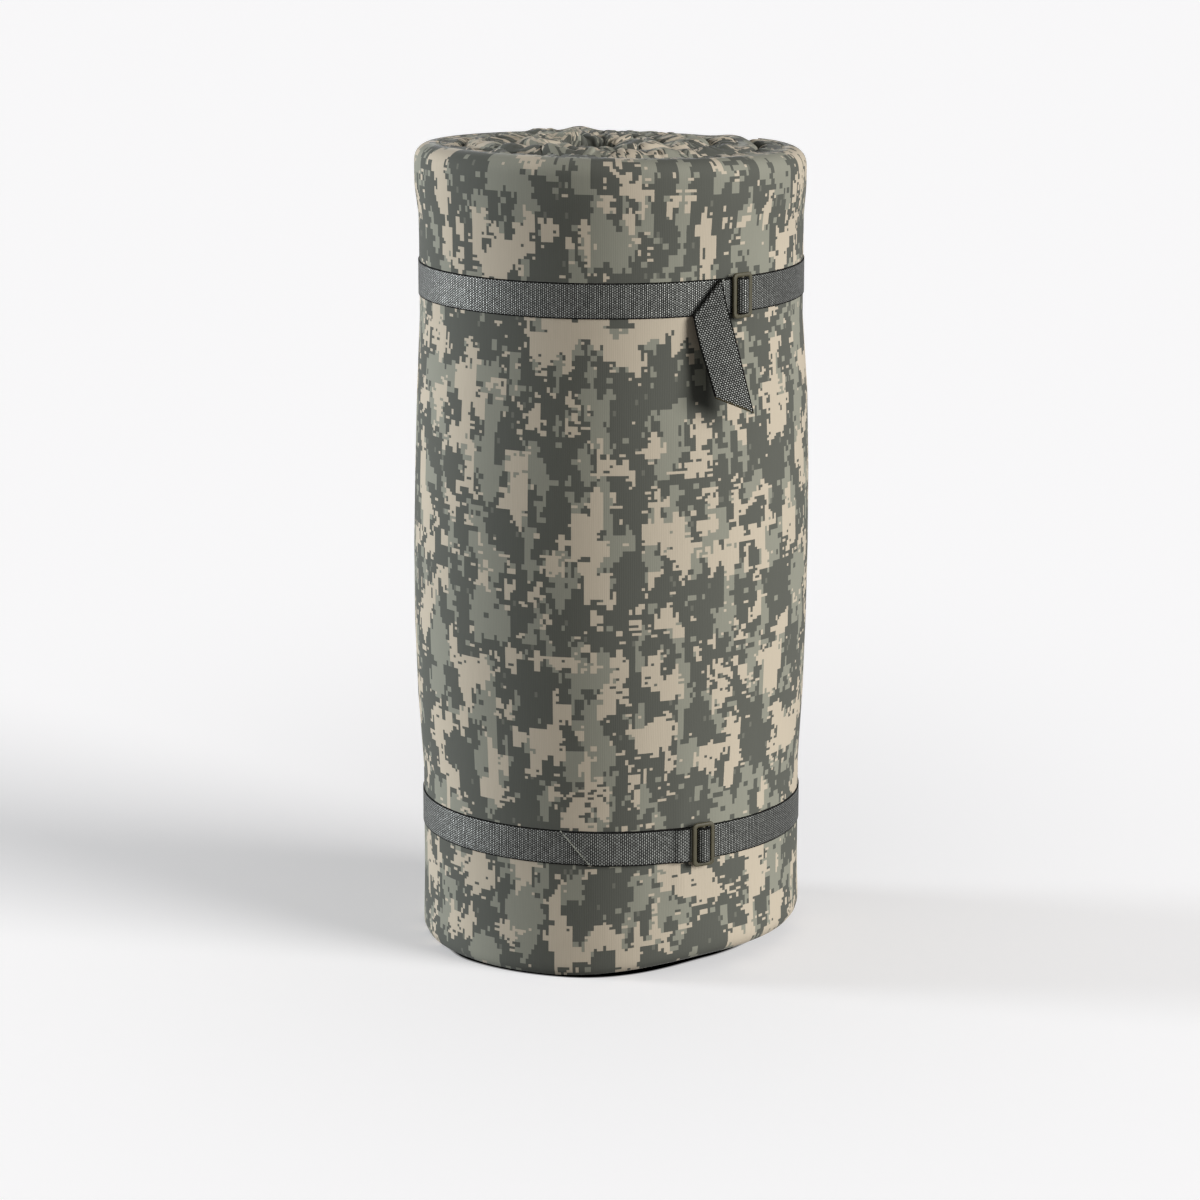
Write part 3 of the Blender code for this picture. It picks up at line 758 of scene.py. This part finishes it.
CUT_SINGE = 0.0009
SINGE_SPACING = 0.0006


def webbing_finish(name, bead_high, waist, deeper_rib_shade, gloss, cut_colour):
    """Ribbed nylon webbing: columns of glossy yarn floats like beads, with black painted shade between.

    Each float is painted lighter at its crown and darker towards its sides and ends, as painted
    shading of its round. The right side's floats run together into ribs, and every other rib lies
    deeper and is painted darker as its shade. A painted black shade line runs along both
    selvedges. On the back the floats are shorter and stand apart. The yarns are singed together
    along the cut.
    """
    web = Finish(name, Sheen_Weight=0.08, Sheen_Roughness=0.25, Specular_IOR_Level=0.06)
    u, v = web.places("cloth")
    column = u / RIB_WIDE
    parity = column.floor() % 2.0
    across = column.fraction() * 2.0 - 1.0
    row = v / bead_high + parity * 0.5
    down = row.fraction() * 2.0 - 1.0
    edge = (v - WEB_WIDTH / 2) / (WEB_WIDTH / 2)
    # Painted shade: no float is lit near either selvedge, so a black shade line runs along both.
    body = edge * edge < SELVEDGE_START
    bead = body * (1.0 - across * across) * (1.0 - waist * down * down) * (1.0 - deeper_rib_shade * parity)
    yarn = web.speckle(web.at(column.floor(), row.floor(), 1.0))
    fuzz = web.noise(web.at(u * FUZZ_PER_METRE, v * FUZZ_PER_METRE, 0.0), 1.0, 2.0)
    # Painted shading of the floats: lighter crowns, darker sides, deeper ribs darker, black between.
    painted_float_shading = (bead ** BEAD_SHARPNESS) * (0.60 + 0.50 * yarn) + 0.05 * (fuzz - 0.5)
    colour = web.mix(painted_float_shading.held(), WEB_GAP_SHADE, WEB_LIGHT)
    to_cut = web.node("ShaderNodeAttribute", {"attribute_name": "to_cut"}, output=2)
    frayed = CUT_SINGE * (0.4 + 1.4 * web.speckle(web.at((v / SINGE_SPACING).floor(), 0.0, 3.0)))
    colour = web.mix(to_cut < frayed, colour, cut_colour)
    web.give(Base_Color=colour, Roughness=0.88 - 0.50 * bead, Metallic=gloss * bead)
    web.bump(bead + 0.15 * fuzz, RIB_DEPTH)
    return web.material


HULL_OVERLAP = 0.05
HULL_STEP = 0.003
LEAST_STEP = 1e-4


class StrapLine:
    """The line that a taut strap takes round the roll, seen from above.

    Distances run from the middle of the buckle to the left and on round the roll. Lifts are
    heights over the cover.
    """

    def __init__(self, buckle_azimuth, bottom):
        self.azimuth = buckle_azimuth
        height = bottom + WEB_WIDTH / 2 - MAT_WIDTH / 2
        ring = FULL_TURN * layer_radius(math.pi) + HULL_OVERLAP
        along = np.arange(-LENGTH_HALF, -LENGTH_HALF + ring, HULL_STEP)
        places = slab_place(along, np.full_like(along, height), 1)[:, :2]
        points = [Vector(place) for place in places]
        corners = [points[index] for index in convex_hull_2d(points)]
        flat = [corner for corner in corners if abs(self.way_round(corner)) > FACET_ANGLE / 2]
        flat.sort(key=lambda corner: self.way_round(corner) % FULL_TURN)
        self.right = self.facet_end(-1)
        self.left = self.facet_end(1)
        self.middle = (self.left + self.right) / 2
        self.along = (self.left - self.right).normalized()
        self.outwards = Vector((self.along.y, -self.along.x))
        if self.outwards.dot(self.middle - POLE.to_2d()) < 0:
            self.outwards = -self.outwards
        line = [self.middle, self.left] + flat + [self.right, self.middle]
        self.line = [line[0]]
        for point in line[1:]:
            if (point - self.line[-1]).length > LEAST_STEP:
                self.line.append(point)
        self.distances = [0.0]
        for before, after in zip(self.line, self.line[1:]):
            self.distances.append(self.distances[-1] + (after - before).length)
        self.length = self.distances[-1]
        self.normals = self.corner_normals()

    def way_round(self, corner):
        """Angle from the buckle to a corner, leftwards, from minus to plus half a turn."""
        return (self.azimuth - azimuth_of(corner) + math.pi) % FULL_TURN - math.pi

    def facet_end(self, side):
        azimuth = self.azimuth - side * FACET_ANGLE / 2
        radius = float(outline_radius(azimuth))
        return POLE.to_2d() + Vector((math.sin(azimuth), -math.cos(azimuth))) * radius

    def corner_normals(self):
        """Ways outwards at the corners, as long as a mitred offset of one unit needs."""
        ways = [(after - before).normalized() for before, after in zip(self.line, self.line[1:])]
        outs = [Vector((way.y, -way.x)) for way in ways]
        if outs[0].dot(self.outwards) < 0:
            outs = [-out for out in outs]
        ends = zip([outs[-1]] + outs, outs + [outs[0]])
        return [(before + after) / (1.0 + before.dot(after)) for before, after in ends]

    def at(self, distance, lift):
        held = distance % self.length
        index = min(int(np.searchsorted(self.distances, held, side="right")) - 1, len(self.line) - 2)
        share = (held - self.distances[index]) / (self.distances[index + 1] - self.distances[index])
        start = self.line[index] + self.normals[index] * lift
        end = self.line[index + 1] + self.normals[index + 1] * lift
        return start.lerp(end, share)

    def at_buckle(self, right, lift):
        return self.middle - self.along * right + self.outwards * lift

    def run(self, start, end, lift):
        """Places from one distance to another at one lift."""
        count = max(1, round(abs(end - start) / PATH_STEP))
        return [self.at(start + (end - start) * step / count, lift) for step in range(count + 1)]

    def bend(self, centre, radius, start, end, steps):
        """Places on an arc at the buckle, from one angle to another."""
        places = []
        for step in range(steps + 1):
            angle = start + (end - start) * step / steps
            right = centre[0] + radius * math.cos(angle)
            places.append(self.at_buckle(right, centre[1] + radius * math.sin(angle)))
        return places

    def round_middle_bar(self):
        """The sewn end's way up, round the middle bar and back under, to the first layer."""
        centre = (-WRAP_RADIUS - LEFT_BEND_RADIUS, SECOND_LAYER + LEFT_BEND_RADIUS)
        places = self.bend(centre, LEFT_BEND_RADIUS, -math.pi / 2, 0.0, BEND_STEPS)
        leave = WRAP_SLOPE - math.pi / 2
        places += self.bend((0.0, BAR_CENTRE), WRAP_RADIUS, math.pi, leave, 3 * BEND_STEPS)[1:]
        last = (WRAP_RADIUS * math.cos(leave), BAR_CENTRE + WRAP_RADIUS * math.sin(leave))
        back = last[0] - (last[1] - FIRST_LAYER) / math.tan(WRAP_SLOPE)
        return places, -back

    def through_slots(self):
        """The free end's way up the right slot, over the middle bar and down the left."""
        centre = (THREAD_RADIUS + RIGHT_BEND_RADIUS, FIRST_LAYER + RIGHT_BEND_RADIUS)
        places = self.bend(centre, RIGHT_BEND_RADIUS, 1.5 * math.pi, math.pi, BEND_STEPS)
        places += self.bend((0.0, BAR_CENTRE), THREAD_RADIUS, 0.0, math.pi, 4 * BEND_STEPS)[1:]
        radius = LEFT_BEND_RADIUS - WEB_LAYER
        centre = (-THREAD_RADIUS - radius, THIRD_LAYER + radius)
        places += self.bend(centre, radius, 0.0, -math.pi / 2, BEND_STEPS)[1:]
        return places, THREAD_RADIUS + radius


def path_lengths(path):
    """Length run at each place of a path."""
    steps = [(after - before).length for before, after in zip(path, path[1:])]
    return np.concatenate([[0.0], np.cumsum(steps)])


CUT_REACH = 1.3


def webbing_strip(name, path, bottom, slant=0.0, start_length=0.0):
    """Webbing standing on edge along a path; the slant draws back its upper edge at the end."""
    lengths = path_lengths(path)
    x, y = np.array(path).T
    across = np.linspace(0.0, WEB_WIDTH, WEB_ROWS + 1)
    reach = CUT_REACH * abs(slant)

    def cut(along, height):
        """Lengths along the strip with its end cut at a slant."""
        drawn = slant * height / WEB_WIDTH if slant > 0 else -slant * (1.0 - height / WEB_WIDTH)
        if not slant:
            return along
        share = np.clip((along - lengths[-1] + reach) / reach, 0.0, 1.0)
        return along - share * drawn

    def place(along, height):
        run = cut(along, height)
        return np.stack([np.interp(run, lengths, x), np.interp(run, lengths, y), bottom + height], axis=-1)

    sheet = flat_sheet(lengths, across)
    strip = finish_sheet(name, sheet, lengths, across, place, True, cut, start_length)
    thicken(strip, True)
    return strip


def thicken(strip, even_offset):
    """Give a strip of webbing its thickness and its soft edges."""
    wall = strip.modifiers.new("webbing thickness", "SOLIDIFY")
    wall.thickness = WEB_THICKNESS
    wall.offset = 0.0
    wall.use_even_offset = even_offset
    soft = strip.modifiers.new("soft edges", "BEVEL")
    soft.width = SOFT_EDGE
    soft.segments = 2
    soft.limit_method = "ANGLE"
    soft.angle_limit = math.radians(50.0)


webbing = webbing_finish("grey_webbing", bead_high=0.0017, waist=0.70, deeper_rib_shade=0.12, gloss=0.95,
                         cut_colour=(0.20, 0.20, 0.17))
LINES = {name: StrapLine(azimuth, bottom) for name, azimuth, bottom in STRAPS}
strap_lengths = {}
for name, _, bottom in STRAPS:
    line = LINES[name]
    loop, back = line.round_middle_bar()
    slots, clear = line.through_slots()
    strap_end = SIDE_BAR_OUTER + (TOP_TAIL_STUB + FOLD_RUN if name == "top" else 0.0)
    strap_path = line.run(SEWN_END_LENGTH, WRAP_RADIUS + LEFT_BEND_RADIUS, SECOND_LAYER)[:-1] + loop
    strap_path += line.run(back, line.length - THREAD_RADIUS - RIGHT_BEND_RADIUS, FIRST_LAYER)[:-1]
    strap_path += slots + line.run(clear, strap_end, THIRD_LAYER)[1:]
    strap = webbing_strip(name + "_strap_webbing", strap_path, bottom, FOLD_RUN if name == "top" else 0.0)
    strap_lengths[name] = path_lengths(strap_path)[-1]
    strap.data.materials.append(webbing)
    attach(strap, name + "_strap_body")
    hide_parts(name + "_strap")

# The free ends.
# Each strap's free end leaves the slide to the left. The bottom one lies flat and is cut at
# a slant. The top one is folded over on a diagonal crease and hangs down, off the roll.

TAIL_ROOT_GAP = 0.0006
TAIL_STEP_LENGTH = 0.004
BOTTOM_TAIL_SHORT_EDGE = 0.0700
BOTTOM_TAIL_CUT_SLANT = 0.0216
TOP_TAIL_SHORT_EDGE = 0.0575
TOP_TAIL_CUT_SLANT = 0.0182
FOLD_RADIUS = 0.0010
FOLD_OPENING = math.radians(19.0)
TAIL_LEAN = math.radians(5.5)
TAIL_TWIST = 0.012
TAIL_LEAN_RUN = 0.030
TAIL_SAG = 0.0015
SAG_RUN = 0.080
TOP_TAIL_RUN = 0.0945
CREASE_COLUMNS = 12
TAIL_COLUMNS = 40

low_line = LINES["bottom"]
tail_start = SIDE_BAR_OUTER + TAIL_ROOT_GAP
tail_step = SEWN_END_LENGTH + TAIL_STEP_LENGTH
tail_end = tail_start + BOTTOM_TAIL_SHORT_EDGE + BOTTOM_TAIL_CUT_SLANT
tail_path = low_line.run(tail_start, tail_step, THIRD_LAYER)
for count in range(1, BEND_STEPS + 1):
    distance = tail_step + TAIL_STEP_LENGTH * count / BEND_STEPS
    down = float(smooth_step(count / BEND_STEPS))
    tail_path.append(low_line.at(distance, THIRD_LAYER - down * WEB_LAYER))
tail_path += low_line.run(tail_step + TAIL_STEP_LENGTH, tail_end, SECOND_LAYER)[1:]
bottom_tail = webbing_strip("bottom_tail_webbing", tail_path, STRAPS[1][2], -BOTTOM_TAIL_CUT_SLANT,
                            strap_lengths["bottom"])
# Painted light: the free end shows the strap's own right face, but takes a lighter copy of the webbing so
# that it reads lighter than the strap under it. Its pale cut colour is frayed yarn with a painted highlight
# along the cut.
painted_lit_end_webbing = webbing_finish("grey_webbing_end_painted_lit", bead_high=0.0022, waist=0.65, deeper_rib_shade=0.0, gloss=0.35,
                             cut_colour=(0.30, 0.30, 0.25))
bottom_tail.data.materials.append(painted_lit_end_webbing)
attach(bottom_tail, "bottom_tail_body")
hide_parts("bottom_tail")

fold_joint = joint_named("top_tail_fold")
fold_middle = Vector(fold_joint["pos_m"])
fold_axis = -Vector(fold_joint["axis"])
fold_out = Vector((fold_middle.x, fold_middle.y, 0.0)) - POLE
fold_out = (fold_out - fold_axis * fold_out.dot(fold_axis)).normalized()
fold_across = fold_axis.cross(fold_out)
if fold_across.x > 0:
    fold_across = -fold_across
fold_low = fold_middle - fold_axis * (WEB_WIDTH / math.sin(FOLD_ANGLE) / 2)
crease_end = FOLD_RADIUS * (math.pi - FOLD_OPENING)


def folded(along, height):
    """World places on the top free end from its flat shape: along it from the fold's low end."""
    beyond = along * math.sin(FOLD_ANGLE) + height * math.cos(FOLD_ANGLE)
    up_fold = height * math.sin(FOLD_ANGLE) - along * math.cos(FOLD_ANGLE)
    angle = np.minimum(beyond, crease_end) / FOLD_RADIUS - math.pi / 2
    straight = np.maximum(beyond - crease_end, 0.0)
    last = math.pi / 2 - FOLD_OPENING
    sag = TAIL_SAG * (straight / SAG_RUN) ** 2
    up_fold = up_fold + TAIL_LEAN * straight * smooth_step(straight / TAIL_LEAN_RUN)
    across = FOLD_RADIUS * np.cos(angle) - straight * math.sin(last) - sag * math.cos(last)
    out = FOLD_RADIUS * np.sin(angle) + straight * math.cos(last) - sag * math.sin(last)
    out += TAIL_TWIST * (1.0 - height / WEB_WIDTH) * (straight / SAG_RUN) ** 2
    places = np.array(fold_low) + np.outer(up_fold, fold_axis)
    return places + np.outer(across, fold_across) + np.outer(out, fold_out)


crease_run = crease_end / math.sin(FOLD_ANGLE)
top_along = graded((0.0, crease_run, TOP_TAIL_RUN + crease_run), (CREASE_COLUMNS, TAIL_COLUMNS))
top_across = np.linspace(0.0, WEB_WIDTH, 2 * WEB_ROWS + 1)


def tail_cut(along, height):
    """Lengths along the webbing from the fold's low end, between the crease and the cut."""
    start = -height / math.tan(FOLD_ANGLE)
    end = crease_run + TOP_TAIL_SHORT_EDGE + TOP_TAIL_CUT_SLANT * height / WEB_WIDTH
    share = np.clip((along - crease_run) / (top_along[-1] - crease_run), 0.0, 1.0)
    return start + np.minimum(along, crease_run) + share * (end - start - crease_run)


top_sheet = flat_sheet(top_along, top_across)
top_tail = finish_sheet("top_tail_webbing", top_sheet, top_along, top_across,
                        lambda along, height: folded(tail_cut(along, height), height), False,
                        tail_cut, strap_lengths["top"])
thicken(top_tail, False)
back_webbing = webbing_finish("grey_webbing_back", bead_high=0.0019, waist=1.0, deeper_rib_shade=0.0, gloss=0.25,
                              cut_colour=(0.050, 0.042, 0.022))
top_tail.data.materials.append(back_webbing)
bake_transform(top_tail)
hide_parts("top_tail", "top_tail_crease")

# The slide buckles.
# Each is a steel frame with rounded corners and a round bar across its middle, painted olive.
# The strap's sewn end holds it by that bar.

END_BAR_WIDTH = 0.0031
WINDOW_HALF_LENGTH = WEB_WIDTH / 2 + WEB_CLEARANCE
BUCKLE_CORNER = 0.0036
WINDOW_CORNER = 0.0012
BAR_ROUNDING = 0.0010
PAINT_COLOUR = (0.038, 0.033, 0.016)
PAINT_LIGHT = (0.074, 0.065, 0.034)
BARE_STEEL = (0.30, 0.285, 0.24)
SHARP_EDGE = 0.53
CLOUD_PER_METRE = 220.0
GRIT_PER_METRE = 1800.0
GRIT_DEPTH = 0.00008


def olive_paint():
    """Olive paint on steel, dusty, with a little wear along the edges."""
    paint = Finish("olive_paint", Specular_IOR_Level=0.35)
    place = paint.object_places()
    cloud = paint.noise(place, CLOUD_PER_METRE, 4.0, 0.6)
    grit = paint.noise(place, GRIT_PER_METRE, 2.0)
    sharp = paint.node("ShaderNodeNewGeometry", {}, output=7)
    wear = ((sharp - SHARP_EDGE) * 6.0 + (cloud - 0.5)).held()
    colour = paint.mix(cloud, PAINT_COLOUR, PAINT_LIGHT)
    colour = paint.mix(0.35 * wear, colour, BARE_STEEL)
    paint.give(Base_Color=paint.shade(colour, 0.85 + 0.3 * grit), Roughness=0.42 + 0.2 * cloud)
    paint.bump(cloud + 0.5 * grit, GRIT_DEPTH)
    return paint.material


def upright_edges(plate, in_window):
    """The edges through a plate's thickness, at the window's corners or at the outer ones."""
    found = []
    for edge in plate.edges:
        place = edge.verts[0].co
        upright = abs(place.z - edge.verts[1].co.z) > BAR_HEIGHT / 2
        inside = abs(place.x) < WINDOW_HALF + 1e-4 and abs(place.y) < WINDOW_HALF_LENGTH + 1e-4
        if upright and inside == in_window:
            found.append(edge)
    return found


def buckle(name, line, bottom):
    """A plate with a window, rounded at its corners and edges, and a round middle bar."""
    plate = bmesh.new()
    bmesh.ops.create_grid(plate, x_segments=1, y_segments=1, size=0.5)
    outer_length = 2 * (WINDOW_HALF_LENGTH + END_BAR_WIDTH)
    bmesh.ops.scale(plate, vec=(2 * SIDE_BAR_OUTER, outer_length, 1.0), verts=plate.verts)
    bmesh.ops.inset_region(plate, faces=list(plate.faces), thickness=END_BAR_WIDTH,
                           use_boundary=True, use_even_offset=True)
    window = min(plate.faces, key=lambda face: face.calc_center_median().length)
    for vert in window.verts:
        vert.co.x = math.copysign(WINDOW_HALF, vert.co.x)
    bmesh.ops.delete(plate, geom=[window], context="FACES_ONLY")
    raised = bmesh.ops.extrude_face_region(plate, geom=list(plate.faces))
    top = [item for item in raised["geom"] if isinstance(item, bmesh.types.BMVert)]
    bmesh.ops.translate(plate, vec=(0.0, 0.0, BAR_HEIGHT), verts=top)
    bmesh.ops.translate(plate, vec=(0.0, 0.0, -BAR_HEIGHT / 2), verts=plate.verts)
    bmesh.ops.recalc_face_normals(plate, faces=plate.faces)
    for in_window, radius, steps in ((False, BUCKLE_CORNER, 7), (True, WINDOW_CORNER, 4)):
        bmesh.ops.bevel(plate, geom=upright_edges(plate, in_window), offset=radius, affect="EDGES",
                        segments=steps, profile=0.5, material=-1)
    rims = [edge for edge in plate.edges if abs(edge.verts[0].co.z - edge.verts[1].co.z) < 1e-6
            and edge.calc_face_angle(0.0) > math.radians(60.0)]
    bmesh.ops.bevel(plate, geom=rims, offset=BAR_ROUNDING, affect="EDGES", segments=4,
                    profile=0.5, material=-1)
    upright_turn = Matrix.Rotation(math.pi / 2, 4, "X")
    bmesh.ops.create_cone(plate, cap_ends=True, segments=20, radius1=BAR_HEIGHT / 2, radius2=BAR_HEIGHT / 2,
                          depth=2 * WINDOW_HALF_LENGTH + END_BAR_WIDTH, matrix=upright_turn)
    centre = line.at_buckle(0.0, BAR_CENTRE).to_3d() + Vector((0.0, 0.0, bottom + WEB_WIDTH / 2))
    facing = Matrix.Translation(centre) @ Matrix.Rotation(line.azimuth, 4, "Z") @ upright_turn
    bmesh.ops.transform(plate, matrix=facing, verts=plate.verts)
    made = add_shape(name, plate)
    made.data.shade_smooth()
    return made


paint = olive_paint()
for name, _, bottom in STRAPS:
    slide = buckle(name + "_buckle", LINES[name], bottom)
    slide.data.materials.append(paint)
    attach(slide, name + "_buckle_body")
    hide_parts(name + "_slide_buckle")

# The camera and the studio.
# A pale floor under soft light from the right front, with a weaker fill from the left.
# The floor carries a painted shade round the roll and a painted black contact shadow under its foot.

FOCAL_PIXELS = 4139.0
FRAME_PIXELS = 1200.0
SENSOR = 36.0
CAMERA_PLACE = (-0.0083, -2.9458, 0.902)
CAMERA_TILT = math.radians(12.53)

lens = bpy.data.cameras.new("camera")
lens.sensor_width = SENSOR
lens.lens = FOCAL_PIXELS / FRAME_PIXELS * SENSOR
lens.clip_end = 200.0
camera = add_object("camera", lens)
camera.location = CAMERA_PLACE
camera.rotation_euler = (math.pi / 2 - CAMERA_TILT, 0.0, 0.0)
bpy.context.scene.camera = camera

FLOOR_HALF = 60.0
FLOOR_COLOUR = (0.850, 0.835, 0.828)
FLOOR_BOUNCE = (0.30, 0.30, 0.30)
FLOOR_GLOW = (0.358, 0.358, 0.364)
# Painted shade on the floor: a soft darker patch round the roll, centred behind it.
SHADE_MIDDLE = 0.20
SHADE_WIDE = 0.35
SHADE_DEEP = 0.60
SHADE_STRENGTH = 0.15
# Painted contact shadow under the roll's foot: how far its black edge is drawn in, and where.
FOOT_GAP_DRAWN = 0.026
FOOT_GAP_LEFT = 0.008
FOOT_GAP_LEFT_START = math.radians(165.0)
FOOT_GAP_LEFT_RUN = math.radians(25.0)
FOOT_GAP_END = 0.012
FOOT_GAP_END_RUN = math.radians(35.0)
FOOT_GAP_RISE = 0.003

floor_sheet = bmesh.new()
bmesh.ops.create_grid(floor_sheet, x_segments=1, y_segments=1, size=FLOOR_HALF)
floor = add_shape("floor", floor_sheet)
floor_finish = Finish("pale_floor", Roughness=1.0, Specular_IOR_Level=0.0, Emission_Strength=1.0)
seen = floor_finish.seen_directly()
x, y, _ = floor_finish.split(floor_finish.object_places())
# Painted shade: a soft darker patch round the roll.
aside = x / SHADE_WIDE
beyond = (y - SHADE_MIDDLE) / SHADE_DEEP
near = math.e ** (-1.0 * (aside * aside + beyond * beyond))
# Painted contact shadow: the floor turns black inside the roll's foot outline, drawn in where the foot's
# edge is lifted, near the left and at the outer end.
to_right = x - POLE.x
to_front = POLE.y - y
azimuth = to_right.azimuth(to_front)
turned = (OUTER_END_AZIMUTH - azimuth) % FULL_TURN
drawn = (EDGE_DRAW_START - turned * (ROLL_END_RADIUS - COVER_HALF)) / EDGE_DRAW_LENGTH
leftwards = (turned - FOOT_GAP_LEFT_START) / FOOT_GAP_LEFT_RUN
at_end = 1.0 - turned / FOOT_GAP_END_RUN
outline = ROLL_END_RADIUS + FOOT_SPREAD - turned * (TURN_PITCH / FULL_TURN)
outline = outline - FOOT_GAP_DRAWN * drawn.eased() - FOOT_GAP_LEFT * leftwards.eased()
outline = outline - FOOT_GAP_END * at_end.eased()
clear = (to_right * to_right + to_front * to_front) ** 0.5 - outline
floor_past_contact_shadow = (clear / FOOT_GAP_RISE + 0.5).held()
# Painted shade: the contact shadow and the soft patch round the roll darken the floor's seen colour and its
# glow.
level = floor_past_contact_shadow * (1.0 - SHADE_STRENGTH * near)
floor_finish.give(Base_Color=floor_finish.mix(seen, FLOOR_BOUNCE, floor_finish.shade(FLOOR_COLOUR, level)))
floor_finish.give(Emission_Color=floor_finish.mix(seen * level, (0.0, 0.0, 0.0), FLOOR_GLOW))
floor.data.materials.append(floor_finish.material)


def soft_sun(name, azimuth, elevation, colour, strength, spread):
    """A distant lamp, by where it stands as seen from the object, in degrees."""
    sun = bpy.data.lights.new(name, "SUN")
    sun.color = colour
    sun.energy = strength
    sun.angle = math.radians(spread)
    turn = math.radians(azimuth)
    lift = math.radians(elevation)
    towards = Vector((math.sin(turn) * math.cos(lift), -math.cos(turn) * math.cos(lift), math.sin(lift)))
    add_object(name, sun).rotation_euler = towards.to_track_quat("Z", "Y").to_euler()


soft_sun("key", azimuth=62.0, elevation=17.0, colour=(1.0, 1.0, 1.0), strength=4.0, spread=32.0)
soft_sun("fill", azimuth=-99.0, elevation=4.5, colour=(0.94, 0.99, 1.05), strength=4.9, spread=16.0)

WORLD_LIGHT = (0.19, 0.19, 0.19)
BACKDROP_COLOUR = (0.93, 0.93, 0.945)
world = bpy.data.worlds.new("studio")
bpy.context.scene.world = world
world.use_nodes = True
backdrop = Finish.for_world(world)
backdrop.give(Color=backdrop.mix(backdrop.seen_directly(), WORLD_LIGHT, BACKDROP_COLOUR))

bpy.context.scene.view_settings.view_transform = "Standard"
